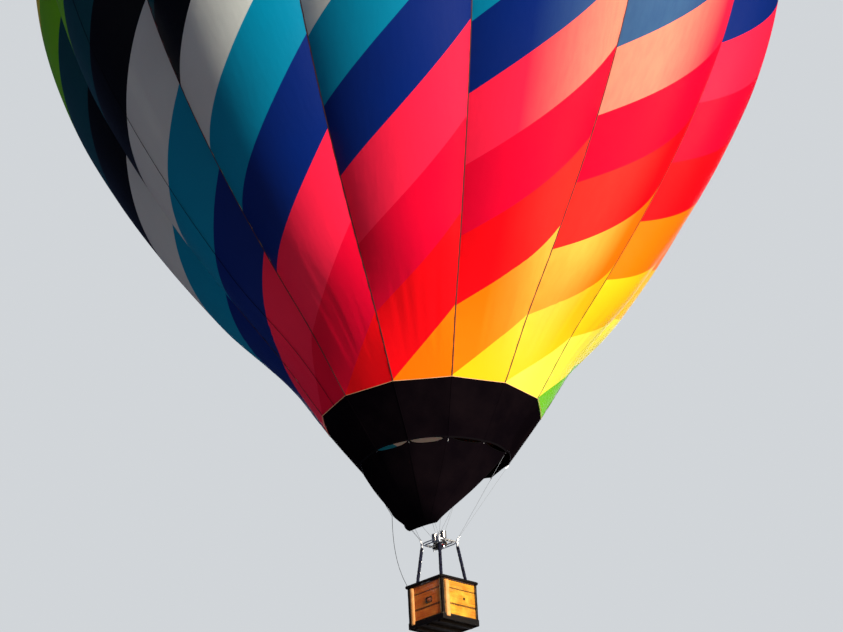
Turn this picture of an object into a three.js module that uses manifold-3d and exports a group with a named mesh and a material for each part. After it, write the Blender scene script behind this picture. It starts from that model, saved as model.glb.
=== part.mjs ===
import * as THREE from 'three';
import { mergeVertices } from 'three/addons/utils/BufferGeometryUtils.js';
import Module from 'manifold-3d';

const wasm = await Module();
wasm.setup();
const { Manifold, Mesh: SolidMesh } = wasm;

// Hot air balloon. Millimetres, +Z up, Z = 0 at the underside of the basket's runners.
// The basket's sides lie along X and Y. The scoop faces -Y.

// Driving dimensions
const GAP = 0.3;
const GORE_COUNT = 12;
const FIRST_SEAM_DEG = -64;
const GORE_DEG = 360 / GORE_COUNT;
const SKIN = 10;
const MOUTH_Z = 4300;
const BAND_TOP_Z = 5550;
const BULGE_FULL_Z = 9000;
const BULGE = 0.102;
const FLAT_BULGE = 0.008;
const VENT_HOLE_R = 2600;
const VENT_R = 2950;
const VENT_DROP = 75;
const CROWN_Z = 25950;
const TAPE_WIDTH = 50;
const TAPE_END_R = 2591;
const CROWN_RING_INNER = 95;
const CROWN_RING_OUTER = 125;

const SCOOP_TOP_R = 1892;
const SCOOP_TOP_Z = 4240;
const SCOOP_LOW_X = [520, -450];
const SCOOP_LOW_Y = -570;
const SCOOP_LOW_Z = [2510, 2550];
const SCOOP_GORES = 8;
const SCOOP_BULGE = [120, 70, 55, 150, 250];
const SCOOP_LOBE = { out: 80, s: 0.79, t: 0.27, sWidth: 0.1, tWidth: 0.13 };

const FRAME_Z = 2210;
const FRAME_HALF = 340;
const FRAME_CORNER_R = 180;
const FRAME_TUBE_R = 16;
const SOCKET_AT = 312;
const SOCKET_R = 30;
const SOCKET_LOW = 2110;
const SOCKET_HIGH = 2236;
const PIN_R = 8;
const PIN_HOLE_R = 9;

const RIM_TOP = 1150;
const RIM_HALF = 612;
const RIM_CORNER_R = 45;
const RIM_SECTION = [42, 37];
const ROD_FOOT = 430;
const ROD_R = 45;
const GUSSET_Z = [1088, 1118];
const GUSSET_LINE = 750;

const WALL_OUTER = 606;
const WALL_THICK = 45;
const CORNER_SIZE = 70;
const WALL_LOW = 90;
const WALL_HIGH = 1076;
const STEP_HOLE = { x: 120, z: 620, width: 200, height: 130 };
const SKIRT = { inner: 606.3, outer: 620, low: 30, high: 190 };
const STRIP = { at: -436, half: 66, proud: 46, low: 105, high: 1042 };
const FLOOR_THICK = 20;
const RUNNER = { width: 90, height: 70 };

const BURNER_Z = FRAME_Z;
const CAN_X = 150;
const CAN_R = 76;
const CAN_WALL = 8;
const CAN_LOW = 2290;
const CAN_HIGH = 2490;
const VALVE = { near: 88, far: 208, halfY: 62, low: 2075, high: 2289.7 };
const CROSSBAR = { halfY: 26, low: 2186, high: 2234 };
const MANIFOLD = { half: 48, low: 2030 };

const CYLINDER_R = 148;
const CYLINDER_AT = 388;
const CYLINDER_TOP = 960;

// Seam line of the envelope, from the mouth to the crown
const SEAM_LINE = [
  { z: 4300, r: 1877 },
  { z: 5550, r: 2790 },
  { z: 7050, r: 3790 },
  { z: 8550, r: 4920 },
  { z: 10550, r: 6310 },
  { z: 12550, r: 7490 },
  { z: 14550, r: 8430 },
  { z: 17050, r: 9170 },
  { z: 19200, r: 9400 },
  { z: 20800, r: 9220 },
  { z: 22200, r: 8620 },
  { z: 23400, r: 7620 },
  { z: 24400, r: 6280 },
  { z: 25150, r: 4680 },
  { z: 25650, r: 2950 },
  { z: 25900, r: 1300 },
  { z: 25950, r: 0 },
];

const seamCurve = new THREE.CatmullRomCurve3(
  SEAM_LINE.map(({ z, r }) => new THREE.Vector3(r, 0, z)), false, 'centripetal');

// Position on the seam line where a rising or falling value is met
function seamAt(value, axis, from = 0, to = 1) {
  let low = from;
  let high = to;
  const rising = seamCurve.getPoint(to)[axis] > seamCurve.getPoint(from)[axis];
  for (let step = 0; step < 50; step += 1) {
    const middle = (low + high) / 2;
    const below = seamCurve.getPoint(middle)[axis] < value;
    if (below === rising) {
      low = middle;
    } else {
      high = middle;
    }
  }
  return (low + high) / 2;
}

const rad = (deg) => deg * Math.PI / 180;
const mix = (from, to, part) => from + (to - from) * part;
const smooth = (value) => {
  const t = Math.min(1, Math.max(0, value));
  return t * t * (3 - 2 * t);
};

// Point of the skin: t along the seam line, u from -1 to 1 across gore k, depth into the wall
function skinPoint(t, u, k, depth, sideGap) {
  const seam = seamCurve.getPoint(t);
  const tangent = seamCurve.getTangent(t);
  const normalR = tangent.z;
  const normalZ = -tangent.x;
  const half = rad(GORE_DEG / 2);
  const chord = seam.x * Math.cos(half);
  const side = seam.x * Math.sin(half) - sideGap;
  const fade = smooth((seam.z - BAND_TOP_Z) / (BULGE_FULL_Z - BAND_TOP_Z));
  const sag = seam.x * (BULGE * fade * Math.max(0, normalR) + FLAT_BULGE);
  const arcR = (side * side + sag * sag) / (2 * sag);
  const reach = Math.asin(Math.min(1, side / arcR));
  const lateral = arcR * Math.sin(u * reach);
  const lift = arcR * (Math.cos(u * reach) - Math.cos(reach));
  const out = chord + lift * normalR;
  const middle = rad(FIRST_SEAM_DEG + GORE_DEG * (k + 0.5));
  const angle = middle + Math.atan2(lateral, out);
  const length = Math.hypot(lateral, out) - depth * normalR;
  return [length * Math.cos(angle), length * Math.sin(angle), seam.z + lift * normalZ - depth * normalZ];
}

function meshFromArrays(points, faces) {
  const geometry = new THREE.BufferGeometry();
  geometry.setAttribute('position', new THREE.Float32BufferAttribute(points.flat(), 3));
  geometry.setIndex(faces.flat());
  return geometry;
}

// Closed plate between two grids of the same size; loop joins the last column to the first
function plate(outer, inner, loop = false) {
  const rows = outer.length;
  const columns = outer[0].length;
  const points = [...outer.flat(), ...inner.flat()];
  const shift = rows * columns;
  const faces = [];
  const quad = (a, b, c, d) => {
    faces.push([a, b, c], [a, c, d]);
  };
  const at = (row, column) => row * columns + (column % columns);
  const last = loop ? columns : columns - 1;
  for (let row = 0; row < rows - 1; row += 1) {
    for (let column = 0; column < last; column += 1) {
      const a = at(row, column);
      const b = at(row, column + 1);
      const c = at(row + 1, column + 1);
      const d = at(row + 1, column);
      quad(a, b, c, d);
      quad(shift + a, shift + d, shift + c, shift + b);
    }
    if (!loop) {
      const a = at(row, 0);
      const d = at(row + 1, 0);
      quad(a, d, shift + d, shift + a);
      const b = at(row, columns - 1);
      const c = at(row + 1, columns - 1);
      quad(c, b, shift + b, shift + c);
    }
  }
  for (let column = 0; column < last; column += 1) {
    const a = at(0, column);
    const b = at(0, column + 1);
    quad(b, a, shift + a, shift + b);
    const d = at(rows - 1, column);
    const c = at(rows - 1, column + 1);
    quad(d, c, shift + c, shift + d);
  }
  return meshFromArrays(points, faces);
}

// Ring swept round a flat closed path with an upright rounded section
function ringSweep(path, halfWidth, halfHeight, sides) {
  const points = [];
  const faces = [];
  path.forEach(({ x, y, z, nx, ny }) => {
    for (let side = 0; side < sides; side += 1) {
      const angle = (side + 0.5) * 2 * Math.PI / sides;
      const across = halfWidth * Math.cos(angle) / Math.cos(Math.PI / sides);
      const up = halfHeight * Math.sin(angle) / Math.cos(Math.PI / sides);
      points.push([x + nx * across, y + ny * across, z + up]);
    }
  });
  const count = path.length;
  for (let index = 0; index < count; index += 1) {
    const next = (index + 1) % count;
    for (let side = 0; side < sides; side += 1) {
      const beside = (side + 1) % sides;
      const a = index * sides + side;
      const b = next * sides + side;
      const c = next * sides + beside;
      const d = index * sides + beside;
      faces.push([a, b, c], [a, c, d]);
    }
  }
  return meshFromArrays(points, faces);
}

// Rounded square path round the Z axis, counter-clockwise, with outward normals
function squarePath(half, cornerR, z, steps) {
  const path = [];
  const centre = half - cornerR;
  [[1, 1, 0], [-1, 1, 90], [-1, -1, 180], [1, -1, 270]].forEach(([sx, sy, start]) => {
    for (let step = 0; step <= steps; step += 1) {
      const angle = rad(start + 90 * step / steps);
      const nx = Math.cos(angle);
      const ny = Math.sin(angle);
      path.push({ x: sx * centre + cornerR * nx, y: sy * centre + cornerR * ny, z, nx, ny });
    }
  });
  return path;
}

function box(x0, x1, y0, y1, z0, z1) {
  const geometry = new THREE.BoxGeometry(x1 - x0, y1 - y0, z1 - z0);
  geometry.translate((x0 + x1) / 2, (y0 + y1) / 2, (z0 + z1) / 2);
  return geometry;
}

function rod(from, to, radius, sides = 8) {
  const start = new THREE.Vector3(...from);
  const end = new THREE.Vector3(...to);
  const length = start.distanceTo(end);
  const geometry = new THREE.CylinderGeometry(radius, radius, length, sides);
  const turn = new THREE.Quaternion().setFromUnitVectors(
    new THREE.Vector3(0, 1, 0), end.clone().sub(start).normalize());
  geometry.applyQuaternion(turn);
  geometry.translate((start.x + end.x) / 2, (start.y + end.y) / 2, (start.z + end.z) / 2);
  return geometry;
}

// Turned solid from a list of [radius, height] pairs that starts and ends on the axis or closes
function turned(profile, segments, x = 0, y = 0) {
  const geometry = new THREE.LatheGeometry(
    profile.map(([radius, height]) => new THREE.Vector2(radius, height)), segments);
  geometry.rotateX(Math.PI / 2);
  geometry.translate(x, y, 0);
  return geometry;
}

function solid(geometry) {
  const bare = geometry.clone();
  bare.deleteAttribute('normal');
  bare.deleteAttribute('uv');
  const merged = mergeVertices(bare, 1e-3);
  return new Manifold(new SolidMesh({
    numProp: 3,
    vertProperties: new Float32Array(merged.attributes.position.array),
    triVerts: new Uint32Array(merged.index.array),
  }));
}

function fromSolid(body) {
  const mesh = body.getMesh();
  const geometry = new THREE.BufferGeometry();
  const count = mesh.vertProperties.length / mesh.numProp;
  const positions = new Float32Array(count * 3);
  for (let index = 0; index < count; index += 1) {
    for (let axis = 0; axis < 3; axis += 1) {
      positions[index * 3 + axis] = mesh.vertProperties[index * mesh.numProp + axis];
    }
  }
  geometry.setAttribute('position', new THREE.BufferAttribute(positions, 3));
  geometry.setIndex(Array.from(mesh.triVerts));
  return geometry;
}

const join = (parts) => fromSolid(Manifold.union(parts.map(solid)));
const cut = (base, tools) => fromSolid(solid(base).subtract(Manifold.union(tools.map(solid))));

const balloon = new THREE.Group();
balloon.name = 'hot_air_balloon';

function add(name, geometry, color, roughness, metalness = 0) {
  const shape = geometry;
  if (!shape.attributes.normal) {
    shape.computeVertexNormals();
  }
  const mesh = new THREE.Mesh(shape, new THREE.MeshStandardMaterial({ color, roughness, metalness }));
  mesh.name = name;
  balloon.add(mesh);
}

// Gores of the envelope, each a bulged strip from the base band to the vent hole
const GORE_COLORS = [
  0xd81e5b, 0xe0455a, 0xf08c1e, 0xf5c518, 0xe8e36a, 0x8cc63f,
  0x1f6f5c, 0x2a2a2e, 0xd8cfb8, 0x3a9aa8, 0x24316e, 0xd65a78,
];
const GORE_ROWS = 20;
const GORE_COLUMNS = 6;
const bandTop = seamAt(BAND_TOP_Z, 'z', 0, 0.3);
const ventEdge = seamAt(VENT_HOLE_R, 'x', 0.6, 1);

function goreGrid(k, tLow, tHigh, rows, columns, depth, sideGap) {
  const grid = [];
  for (let row = 0; row <= rows; row += 1) {
    const t = tLow + (tHigh - tLow) * row / rows;
    const line = [];
    for (let column = 0; column <= columns; column += 1) {
      line.push(skinPoint(t, -1 + 2 * column / columns, k, depth, sideGap));
    }
    grid.push(line);
  }
  return grid;
}

for (let k = 0; k < GORE_COUNT; k += 1) {
  const outer = goreGrid(k, bandTop, ventEdge, GORE_ROWS, GORE_COLUMNS, 0, GAP / 2);
  const inner = goreGrid(k, bandTop, ventEdge, GORE_ROWS, GORE_COLUMNS, SKIN, GAP / 2);
  const name = `gore_${String(k + 1).padStart(2, '0')}`;
  add(name, plate(outer, inner), GORE_COLORS[k], 0.6);
}

// Base band round the mouth
const bandHigh = seamAt(BAND_TOP_Z - GAP, 'z', 0, 0.3);
const bandRing = (depth) => {
  const grid = [];
  for (let row = 0; row <= 2; row += 1) {
    const t = bandHigh * row / 2;
    const line = [];
    for (let k = 0; k < GORE_COUNT; k += 1) {
      for (let column = 0; column < 2; column += 1) {
        line.push(skinPoint(t, -1 + column, k, depth, 0));
      }
    }
    grid.push(line);
  }
  return grid;
};
add('base_band', plate(bandRing(0), bandRing(SKIN), true), 0x17171b, 0.7);

// Scoop: a sheet outside the flying wires, from the mouth down to a straight lower edge
function scoopGrid(depth) {
  const columns = SCOOP_GORES * 2;
  const rows = 8;
  const bulge = (s) => {
    const at = s * (SCOOP_BULGE.length - 1);
    const index = Math.min(SCOOP_BULGE.length - 2, Math.floor(at));
    return mix(SCOOP_BULGE[index], SCOOP_BULGE[index + 1], at - index);
  };
  const place = (s, t) => {
    const sector = Math.min(SCOOP_GORES - 1, Math.floor(s * SCOOP_GORES));
    const part = s * SCOOP_GORES - sector;
    const from = rad(FIRST_SEAM_DEG + 90 - GORE_DEG * sector);
    const to = rad(FIRST_SEAM_DEG + 90 - GORE_DEG * (sector + 1));
    const topX = SCOOP_TOP_R * mix(Math.cos(from), Math.cos(to), part);
    const topY = SCOOP_TOP_R * mix(Math.sin(from), Math.sin(to), part);
    const lobeS = (s - SCOOP_LOBE.s) / SCOOP_LOBE.sWidth;
    const lobeT = (t - SCOOP_LOBE.t) / SCOOP_LOBE.tWidth;
    const billow = bulge(s) * Math.sin(Math.PI * t ** 0.7)
      + SCOOP_LOBE.out * Math.exp(-lobeS * lobeS - lobeT * lobeT);
    const x = mix(mix(...SCOOP_LOW_X, s), topX, t);
    const y = mix(SCOOP_LOW_Y, topY, t);
    const grown = 1 + billow / Math.hypot(x, y);
    return new THREE.Vector3(x * grown, y * grown, mix(mix(...SCOOP_LOW_Z, s), SCOOP_TOP_Z, t));
  };
  const grid = [];
  for (let row = 0; row <= rows; row += 1) {
    const line = [];
    for (let column = 0; column <= columns; column += 1) {
      const s = column / columns;
      const t = row / rows;
      const point = place(s, t);
      const along = place(Math.min(1, s + 0.02), t).sub(place(Math.max(0, s - 0.02), t));
      const up = place(s, Math.min(1, t + 0.02)).sub(place(s, Math.max(0, t - 0.02)));
      const normal = up.cross(along).normalize();
      point.addScaledVector(normal, -depth);
      line.push(point.toArray());
    }
    line.reverse();
    grid.push(line);
  }
  return grid;
}
add('scoop', plate(scoopGrid(0), scoopGrid(SKIN)), 0x141418, 0.75);

// Crown: parachute vent panel, load tapes over the vent hole, crown ring
const seamHeight = (radius) => {
  const t = radius < 1 ? 1 : seamAt(radius, 'x', 0.55, 1);
  return seamCurve.getPoint(t).z;
};
const VENT_STEPS = 9;
const ventTop = [];
const ventLow = [];
for (let step = 0; step <= VENT_STEPS; step += 1) {
  const radius = VENT_R * step / VENT_STEPS;
  const height = seamHeight(radius) - VENT_DROP;
  ventTop.push([radius, height]);
  ventLow.push([radius, height - SKIN]);
}
add('parachute_vent', turned([...ventLow, ...ventTop.reverse()], 36), 0x1f6f5c, 0.6);

const TAPE_STEPS = 7;
const tapes = [];
for (let k = 0; k < GORE_COUNT; k += 1) {
  const angle = rad(FIRST_SEAM_DEG + GORE_DEG * k);
  const across = [-Math.sin(angle) * TAPE_WIDTH / 2, Math.cos(angle) * TAPE_WIDTH / 2];
  const outer = [];
  const inner = [];
  for (let step = 0; step <= TAPE_STEPS; step += 1) {
    const radius = 60 + (TAPE_END_R - 60) * (1 - step / TAPE_STEPS);
    const height = seamHeight(radius);
    const x = radius * Math.cos(angle);
    const y = radius * Math.sin(angle);
    outer.push([
      [x - across[0], y - across[1], height],
      [x + across[0], y + across[1], height],
    ]);
    inner.push([
      [x - across[0], y - across[1], height - SKIN],
      [x + across[0], y + across[1], height - SKIN],
    ]);
  }
  tapes.push(plate(outer, inner));
}
const hubTop = CROWN_Z + 2;
tapes.push(turned([[0, CROWN_Z - 14], [160, CROWN_Z - 14], [160, hubTop], [0, hubTop]], 24));
add('crown_tapes', join(tapes), 0x2a2a2e, 0.7);

const ringLow = hubTop + GAP;
add('crown_ring', turned([
  [CROWN_RING_INNER, ringLow], [CROWN_RING_OUTER, ringLow],
  [CROWN_RING_OUTER, ringLow + 18], [CROWN_RING_INNER, ringLow + 18],
  [CROWN_RING_INNER, ringLow],
], 32), 0xb8bcc0, 0.35, 0.9);

// Burner frame: square tube ring with corner sockets and two pivot lugs
const lug = (sign) => {
  const near = sign * 302;
  const far = sign * FRAME_HALF;
  const block = box(Math.min(near, far), Math.max(near, far), -22, 22, FRAME_Z - 22, FRAME_Z + 22);
  const hole = rod([sign * 290, 0, FRAME_Z], [sign * 322, 0, FRAME_Z], PIN_HOLE_R, 12);
  return { block, hole };
};
const lugs = [lug(1), lug(-1)];
const frameParts = [
  ringSweep(squarePath(FRAME_HALF, FRAME_CORNER_R, FRAME_Z, 6), FRAME_TUBE_R, FRAME_TUBE_R, 10),
  ...lugs.map(({ block }) => block),
];
const CORNERS = [
  { name: 'a', sx: 1, sy: -1, seams: [0, 1, 2] },
  { name: 'b', sx: 1, sy: 1, seams: [3, 4, 5] },
  { name: 'c', sx: -1, sy: 1, seams: [6, 7, 8] },
  { name: 'd', sx: -1, sy: -1, seams: [9, 10, 11] },
];
CORNERS.forEach(({ sx, sy }) => {
  const at = [sx * SOCKET_AT, sy * SOCKET_AT];
  frameParts.push(rod([...at, SOCKET_LOW], [...at, SOCKET_HIGH], SOCKET_R, 16));
});
const frameSolid = join(frameParts);
add('burner_frame', cut(frameSolid, lugs.map(({ hole }) => hole)), 0xb9bcc0, 0.35, 0.8);

// Gimbal ring, hung in the frame on two pins along X
const ringBars = cut(
  box(-284, 284, -222, 222, FRAME_Z - 16, FRAME_Z + 16),
  [
    box(-262, 262, -200, 200, FRAME_Z - 30, FRAME_Z + 30),
    rod([0, -230, FRAME_Z], [0, -190, FRAME_Z], PIN_HOLE_R, 12),
    rod([0, 190, FRAME_Z], [0, 230, FRAME_Z], PIN_HOLE_R, 12),
  ]);
add('gimbal_ring', join([
  ringBars,
  rod([275, 0, FRAME_Z], [317, 0, FRAME_Z], PIN_R, 16),
  rod([-275, 0, FRAME_Z], [-317, 0, FRAME_Z], PIN_R, 16),
]), 0x9da1a6, 0.4, 0.8);

// Burner block: two valve bodies, a crossbar with its pins along Y, a manifold below it
add('burner_block', join([
  box(VALVE.near, VALVE.far, -VALVE.halfY, VALVE.halfY, VALVE.low, VALVE.high),
  box(-VALVE.far, -VALVE.near, -VALVE.halfY, VALVE.halfY, VALVE.low, VALVE.high),
  box(-VALVE.near - 10, VALVE.near + 10, -CROSSBAR.halfY, CROSSBAR.halfY, CROSSBAR.low, CROSSBAR.high),
  box(-MANIFOLD.half, MANIFOLD.half, -MANIFOLD.half, MANIFOLD.half, MANIFOLD.low, CROSSBAR.low + 10),
  rod([0, -CROSSBAR.halfY + 10, BURNER_Z], [0, -218, BURNER_Z], PIN_R, 16),
  rod([0, CROSSBAR.halfY - 10, BURNER_Z], [0, 218, BURNER_Z], PIN_R, 16),
]), 0x2b2b30, 0.5, 0.4);

const canProfile = [
  [0, CAN_LOW], [CAN_R, CAN_LOW], [CAN_R, CAN_HIGH], [CAN_R - CAN_WALL, CAN_HIGH],
  [CAN_R - CAN_WALL, CAN_LOW + 40], [0, CAN_LOW + 40],
];
add('burner_can_1', turned(canProfile, 20, CAN_X, 0), 0xc9ccd0, 0.3, 0.9);
add('burner_can_2', turned(canProfile, 20, -CAN_X, 0), 0xc9ccd0, 0.3, 0.9);

// Flying wires: three from each frame corner to the mouth, with their shackle
CORNERS.forEach(({ name, sx, sy, seams }) => {
  const low = SOCKET_HIGH + GAP;
  const start = [sx * SOCKET_AT, sy * SOCKET_AT, low + 20];
  const parts = [box(start[0] - 20, start[0] + 20, start[1] - 20, start[1] + 20, low, low + 40)];
  seams.forEach((seam) => {
    const angle = rad(FIRST_SEAM_DEG + GORE_DEG * seam);
    const end = [1871 * Math.cos(angle), 1871 * Math.sin(angle), MOUTH_Z - 7];
    parts.push(rod(start, end, 4, 6));
  });
  add(`flying_wires_${name}`, join(parts), 0x8e9196, 0.4, 0.8);
});

// Padded uprights from the basket's corners to the frame sockets, with level ends
CORNERS.forEach(({ name, sx, sy }) => {
  const low = GUSSET_Z[1] + GAP;
  const high = SOCKET_LOW - GAP;
  const lean = (SOCKET_AT - ROD_FOOT) / (high - low);
  const geometry = new THREE.CylinderGeometry(ROD_R, ROD_R, high - low, 12);
  geometry.rotateX(Math.PI / 2);
  geometry.translate(0, 0, (high - low) / 2);
  geometry.applyMatrix4(new THREE.Matrix4().set(
    1, 0, sx * lean, sx * ROD_FOOT,
    0, 1, sy * lean, sy * ROD_FOOT,
    0, 0, 1, low,
    0, 0, 0, 1));
  add(`upright_${name}`, geometry, 0x1c2340, 0.8);
});

// Basket rim with a gusset in each corner that carries the upright
const gusset = (sx, sy) => {
  const reach = RIM_HALF - 8;
  const near = GUSSET_LINE - reach;
  const shape = new THREE.Shape();
  const corners = [[reach, near], [reach, reach], [near, reach]];
  const turn = sx * sy > 0 ? corners : [...corners].reverse();
  turn.forEach(([x, y], index) => {
    if (index === 0) {
      shape.moveTo(sx * x, sy * y);
    } else {
      shape.lineTo(sx * x, sy * y);
    }
  });
  const geometry = new THREE.ExtrudeGeometry(
    shape, { depth: GUSSET_Z[1] - GUSSET_Z[0], bevelEnabled: false });
  geometry.translate(0, 0, GUSSET_Z[0]);
  return geometry;
};
const rimMiddle = RIM_TOP - RIM_SECTION[1];
add('basket_rim', join([
  ringSweep(squarePath(RIM_HALF, RIM_CORNER_R, rimMiddle, 4), RIM_SECTION[0], RIM_SECTION[1], 8),
  ...CORNERS.map(({ sx, sy }) => gusset(sx, sy)),
]), 0x201a18, 0.7);

// Wicker walls between the leather corners; the -Y wall has the step hole
const wallEnd = WALL_OUTER - CORNER_SIZE - GAP;
const wallInner = WALL_OUTER - WALL_THICK;
const wallLow = WALL_LOW + GAP;
const stepHole = box(
  STEP_HOLE.x - STEP_HOLE.width / 2, STEP_HOLE.x + STEP_HOLE.width / 2, -WALL_OUTER - 20, -wallInner + 20,
  STEP_HOLE.z - STEP_HOLE.height / 2, STEP_HOLE.z + STEP_HOLE.height / 2);
const WICKER = 0xb5622a;
add('wall_front', cut(
  box(-wallEnd, wallEnd, -WALL_OUTER, -wallInner, wallLow, WALL_HIGH), [stepHole]), WICKER, 0.8);
add('wall_back', box(-wallEnd, wallEnd, wallInner, WALL_OUTER, wallLow, WALL_HIGH), WICKER, 0.8);
add('wall_right', box(wallInner, WALL_OUTER, -wallEnd, wallEnd, wallLow, WALL_HIGH), WICKER, 0.8);
add('wall_left', box(-WALL_OUTER, -wallInner, -wallEnd, wallEnd, wallLow, WALL_HIGH), WICKER, 0.8);

CORNERS.forEach(({ name, sx, sy }) => {
  const x = [sx * (WALL_OUTER - CORNER_SIZE), sx * WALL_OUTER].sort((a, b) => a - b);
  const y = [sy * (WALL_OUTER - CORNER_SIZE), sy * WALL_OUTER].sort((a, b) => a - b);
  add(`corner_${name}`, box(x[0], x[1], y[0], y[1], wallLow, WALL_HIGH), 0x3a241a, 0.6);
});

// Leather skirt round the base
add('leather_skirt', cut(
  box(-SKIRT.outer, SKIRT.outer, -SKIRT.outer, SKIRT.outer, SKIRT.low, SKIRT.high),
  [box(-SKIRT.inner, SKIRT.inner, -SKIRT.inner, SKIRT.inner, 0, 300)]), 0x2a1c16, 0.6);

// Half-round hide strips on the walls, each near the left end of its wall, over the skirt
function stripSolid() {
  const levels = [[0, 0.5], [12, 0.78], [38, 1]];
  const span = STRIP.high - STRIP.low;
  const sections = [
    ...levels.map(([rise, size]) => [STRIP.low + rise, size]),
    ...[...levels].reverse().map(([rise, size]) => [STRIP.low + span - rise, size]),
  ];
  const steps = 10;
  const points = [];
  const faces = [];
  sections.forEach(([z, size]) => {
    for (let step = 0; step <= steps; step += 1) {
      const angle = Math.PI * step / steps;
      const x = STRIP.at - STRIP.half * size * Math.cos(angle);
      points.push([x, -WALL_OUTER - GAP - 3 - STRIP.proud * size * Math.sin(angle), z]);
    }
    points.push([STRIP.at + STRIP.half * size, -WALL_OUTER - GAP, z]);
    points.push([STRIP.at - STRIP.half * size, -WALL_OUTER - GAP, z]);
  });
  const round = steps + 3;
  for (let row = 0; row < sections.length - 1; row += 1) {
    for (let side = 0; side < round; side += 1) {
      const a = row * round + side;
      const b = row * round + (side + 1) % round;
      faces.push([a, b, b + round], [a, b + round, a + round]);
    }
  }
  const top = (sections.length - 1) * round;
  for (let side = 1; side < round - 1; side += 1) {
    faces.push([0, side + 1, side], [top, top + side, top + side + 1]);
  }
  const notch = box(
    STRIP.at - 100, STRIP.at + 100, -SKIRT.outer - GAP, 0, 0, SKIRT.high + GAP);
  return cut(meshFromArrays(points, faces), [notch]);
}
[['front', 0], ['right', 90], ['back', 180], ['left', 270]].forEach(([side, turn]) => {
  const geometry = stripSolid();
  geometry.rotateZ(rad(turn));
  add(`hide_strip_${side}`, geometry, 0xe9c690, 0.7);
});

// Floor board on three runners
const runner = (x) => box(
  x - RUNNER.width / 2, x + RUNNER.width / 2, -560, 560, 0, RUNNER.height + 5);
add('floor', join([
  box(-WALL_OUTER, WALL_OUTER, -WALL_OUTER, WALL_OUTER, RUNNER.height, RUNNER.height + FLOOR_THICK),
  runner(-400), runner(0), runner(400),
]), 0x6b4a2c, 0.8);

// Fuel cylinders in the basket's corners
const cylinderLow = WALL_LOW + GAP;
const cylinderProfile = [
  [0, cylinderLow], [CYLINDER_R - 10, cylinderLow], [CYLINDER_R, cylinderLow + 40],
  [CYLINDER_R, CYLINDER_TOP - 170], [CYLINDER_R - 25, CYLINDER_TOP - 110], [95, CYLINDER_TOP - 80],
  [95, CYLINDER_TOP], [0, CYLINDER_TOP],
];
CORNERS.forEach(({ name, sx, sy }) => {
  add(`fuel_cylinder_${name}`, turned(cylinderProfile, 20, sx * CYLINDER_AT, sy * CYLINDER_AT),
    0xc2c5c9, 0.35, 0.8);
});

export default balloon;
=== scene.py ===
import math
import random

import bmesh
import bpy
import numpy as np
from mathutils import Matrix, Vector


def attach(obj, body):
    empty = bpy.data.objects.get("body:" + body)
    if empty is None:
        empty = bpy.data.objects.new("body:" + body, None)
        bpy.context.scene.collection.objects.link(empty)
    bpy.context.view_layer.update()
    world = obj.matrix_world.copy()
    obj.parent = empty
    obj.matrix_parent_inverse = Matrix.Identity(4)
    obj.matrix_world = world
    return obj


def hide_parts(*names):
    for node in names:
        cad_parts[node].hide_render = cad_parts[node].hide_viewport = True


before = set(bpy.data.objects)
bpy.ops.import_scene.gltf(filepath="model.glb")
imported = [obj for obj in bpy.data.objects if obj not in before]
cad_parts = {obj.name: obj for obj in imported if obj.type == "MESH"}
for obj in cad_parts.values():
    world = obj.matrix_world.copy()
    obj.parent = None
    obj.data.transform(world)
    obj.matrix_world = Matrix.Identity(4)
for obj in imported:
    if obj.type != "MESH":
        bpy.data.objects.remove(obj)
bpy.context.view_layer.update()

# Hot air balloon. Metres, +Z up, Z = 0 under the basket's runners; the scoop faces -Y.

ENVELOPE = "basket_and_envelope"
TAU = math.tau
GORES = 12
FIRST_SEAM = math.radians(-64)
GORE_TURN = TAU / GORES
SKIN_MIDDLE = 0.005
BAND_TOP = 5.55
BULGE_FULL = 9.0
BULGE = 0.102
FLAT_BULGE = 0.008
VENT_HOLE_R = 2.6
VENT_R = 2.95
SEAM_LINE = np.array([
    (1.877, 4.3), (2.79, 5.55), (3.79, 7.05), (4.92, 8.55), (6.31, 10.55), (7.49, 12.55),
    (8.43, 14.55), (9.17, 17.05), (9.4, 19.2), (9.22, 20.8), (8.62, 22.2), (7.62, 23.4),
    (6.28, 24.4), (4.68, 25.15), (2.95, 25.65), (1.3, 25.9), (0.0, 25.95),
])

SCOOP_TOP_R = 1.892
SCOOP_TOP_Z = 4.24
SCOOP_LOW_X = (0.52, -0.45)
SCOOP_LOW_Y = -0.57
SCOOP_LOW_Z = (2.51, 2.55)
SCOOP_GORES = 8
SCOOP_BULGE = (0.12, 0.07, 0.055, 0.15, 0.25)
SCOOP_LOBE = {"out": 0.08, "s": 0.79, "t": 0.27, "s_width": 0.1, "t_width": 0.13}
MOUTH_ARCH = (0.045, 0.03, 0.045, 0.1, 0.1, 0.1, 0.1, 0.02, 0.01, 0.01, 0.0, 0.035)
SCOOP_SAG = (0.03, 0.005, 0.02, 0.0, 0.0, 0.0, 0.0, -0.06, -0.06, -0.06, -0.075, 0.015)

TAB_TOP_R, TAB_TOP_Z = 1.875, 4.36
TAB_LOW_R, TAB_LOW_Z = 1.857, 4.275
WIRE_TOP_R, WIRE_TOP_Z = 1.871, 4.288
WIRE_FOOT_Z = 2.2563

FRAME_Z = 2.21
SOCKET_AT = 0.312
ROD_FOOT = 0.43
CAN_X = 0.15
UPWARD = np.array([0, 0, 1.0])
CORNERS = {"a": (1, -1), "b": (1, 1), "c": (-1, 1), "d": (-1, -1)}


# Camera, just above the floor and looking up

CAMERA_AT = (49.4975, -49.4975, -21.236)
CAMERA_TURNS = (22.90505, -3.14014, -0.11013)
LENS = 127.016


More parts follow.
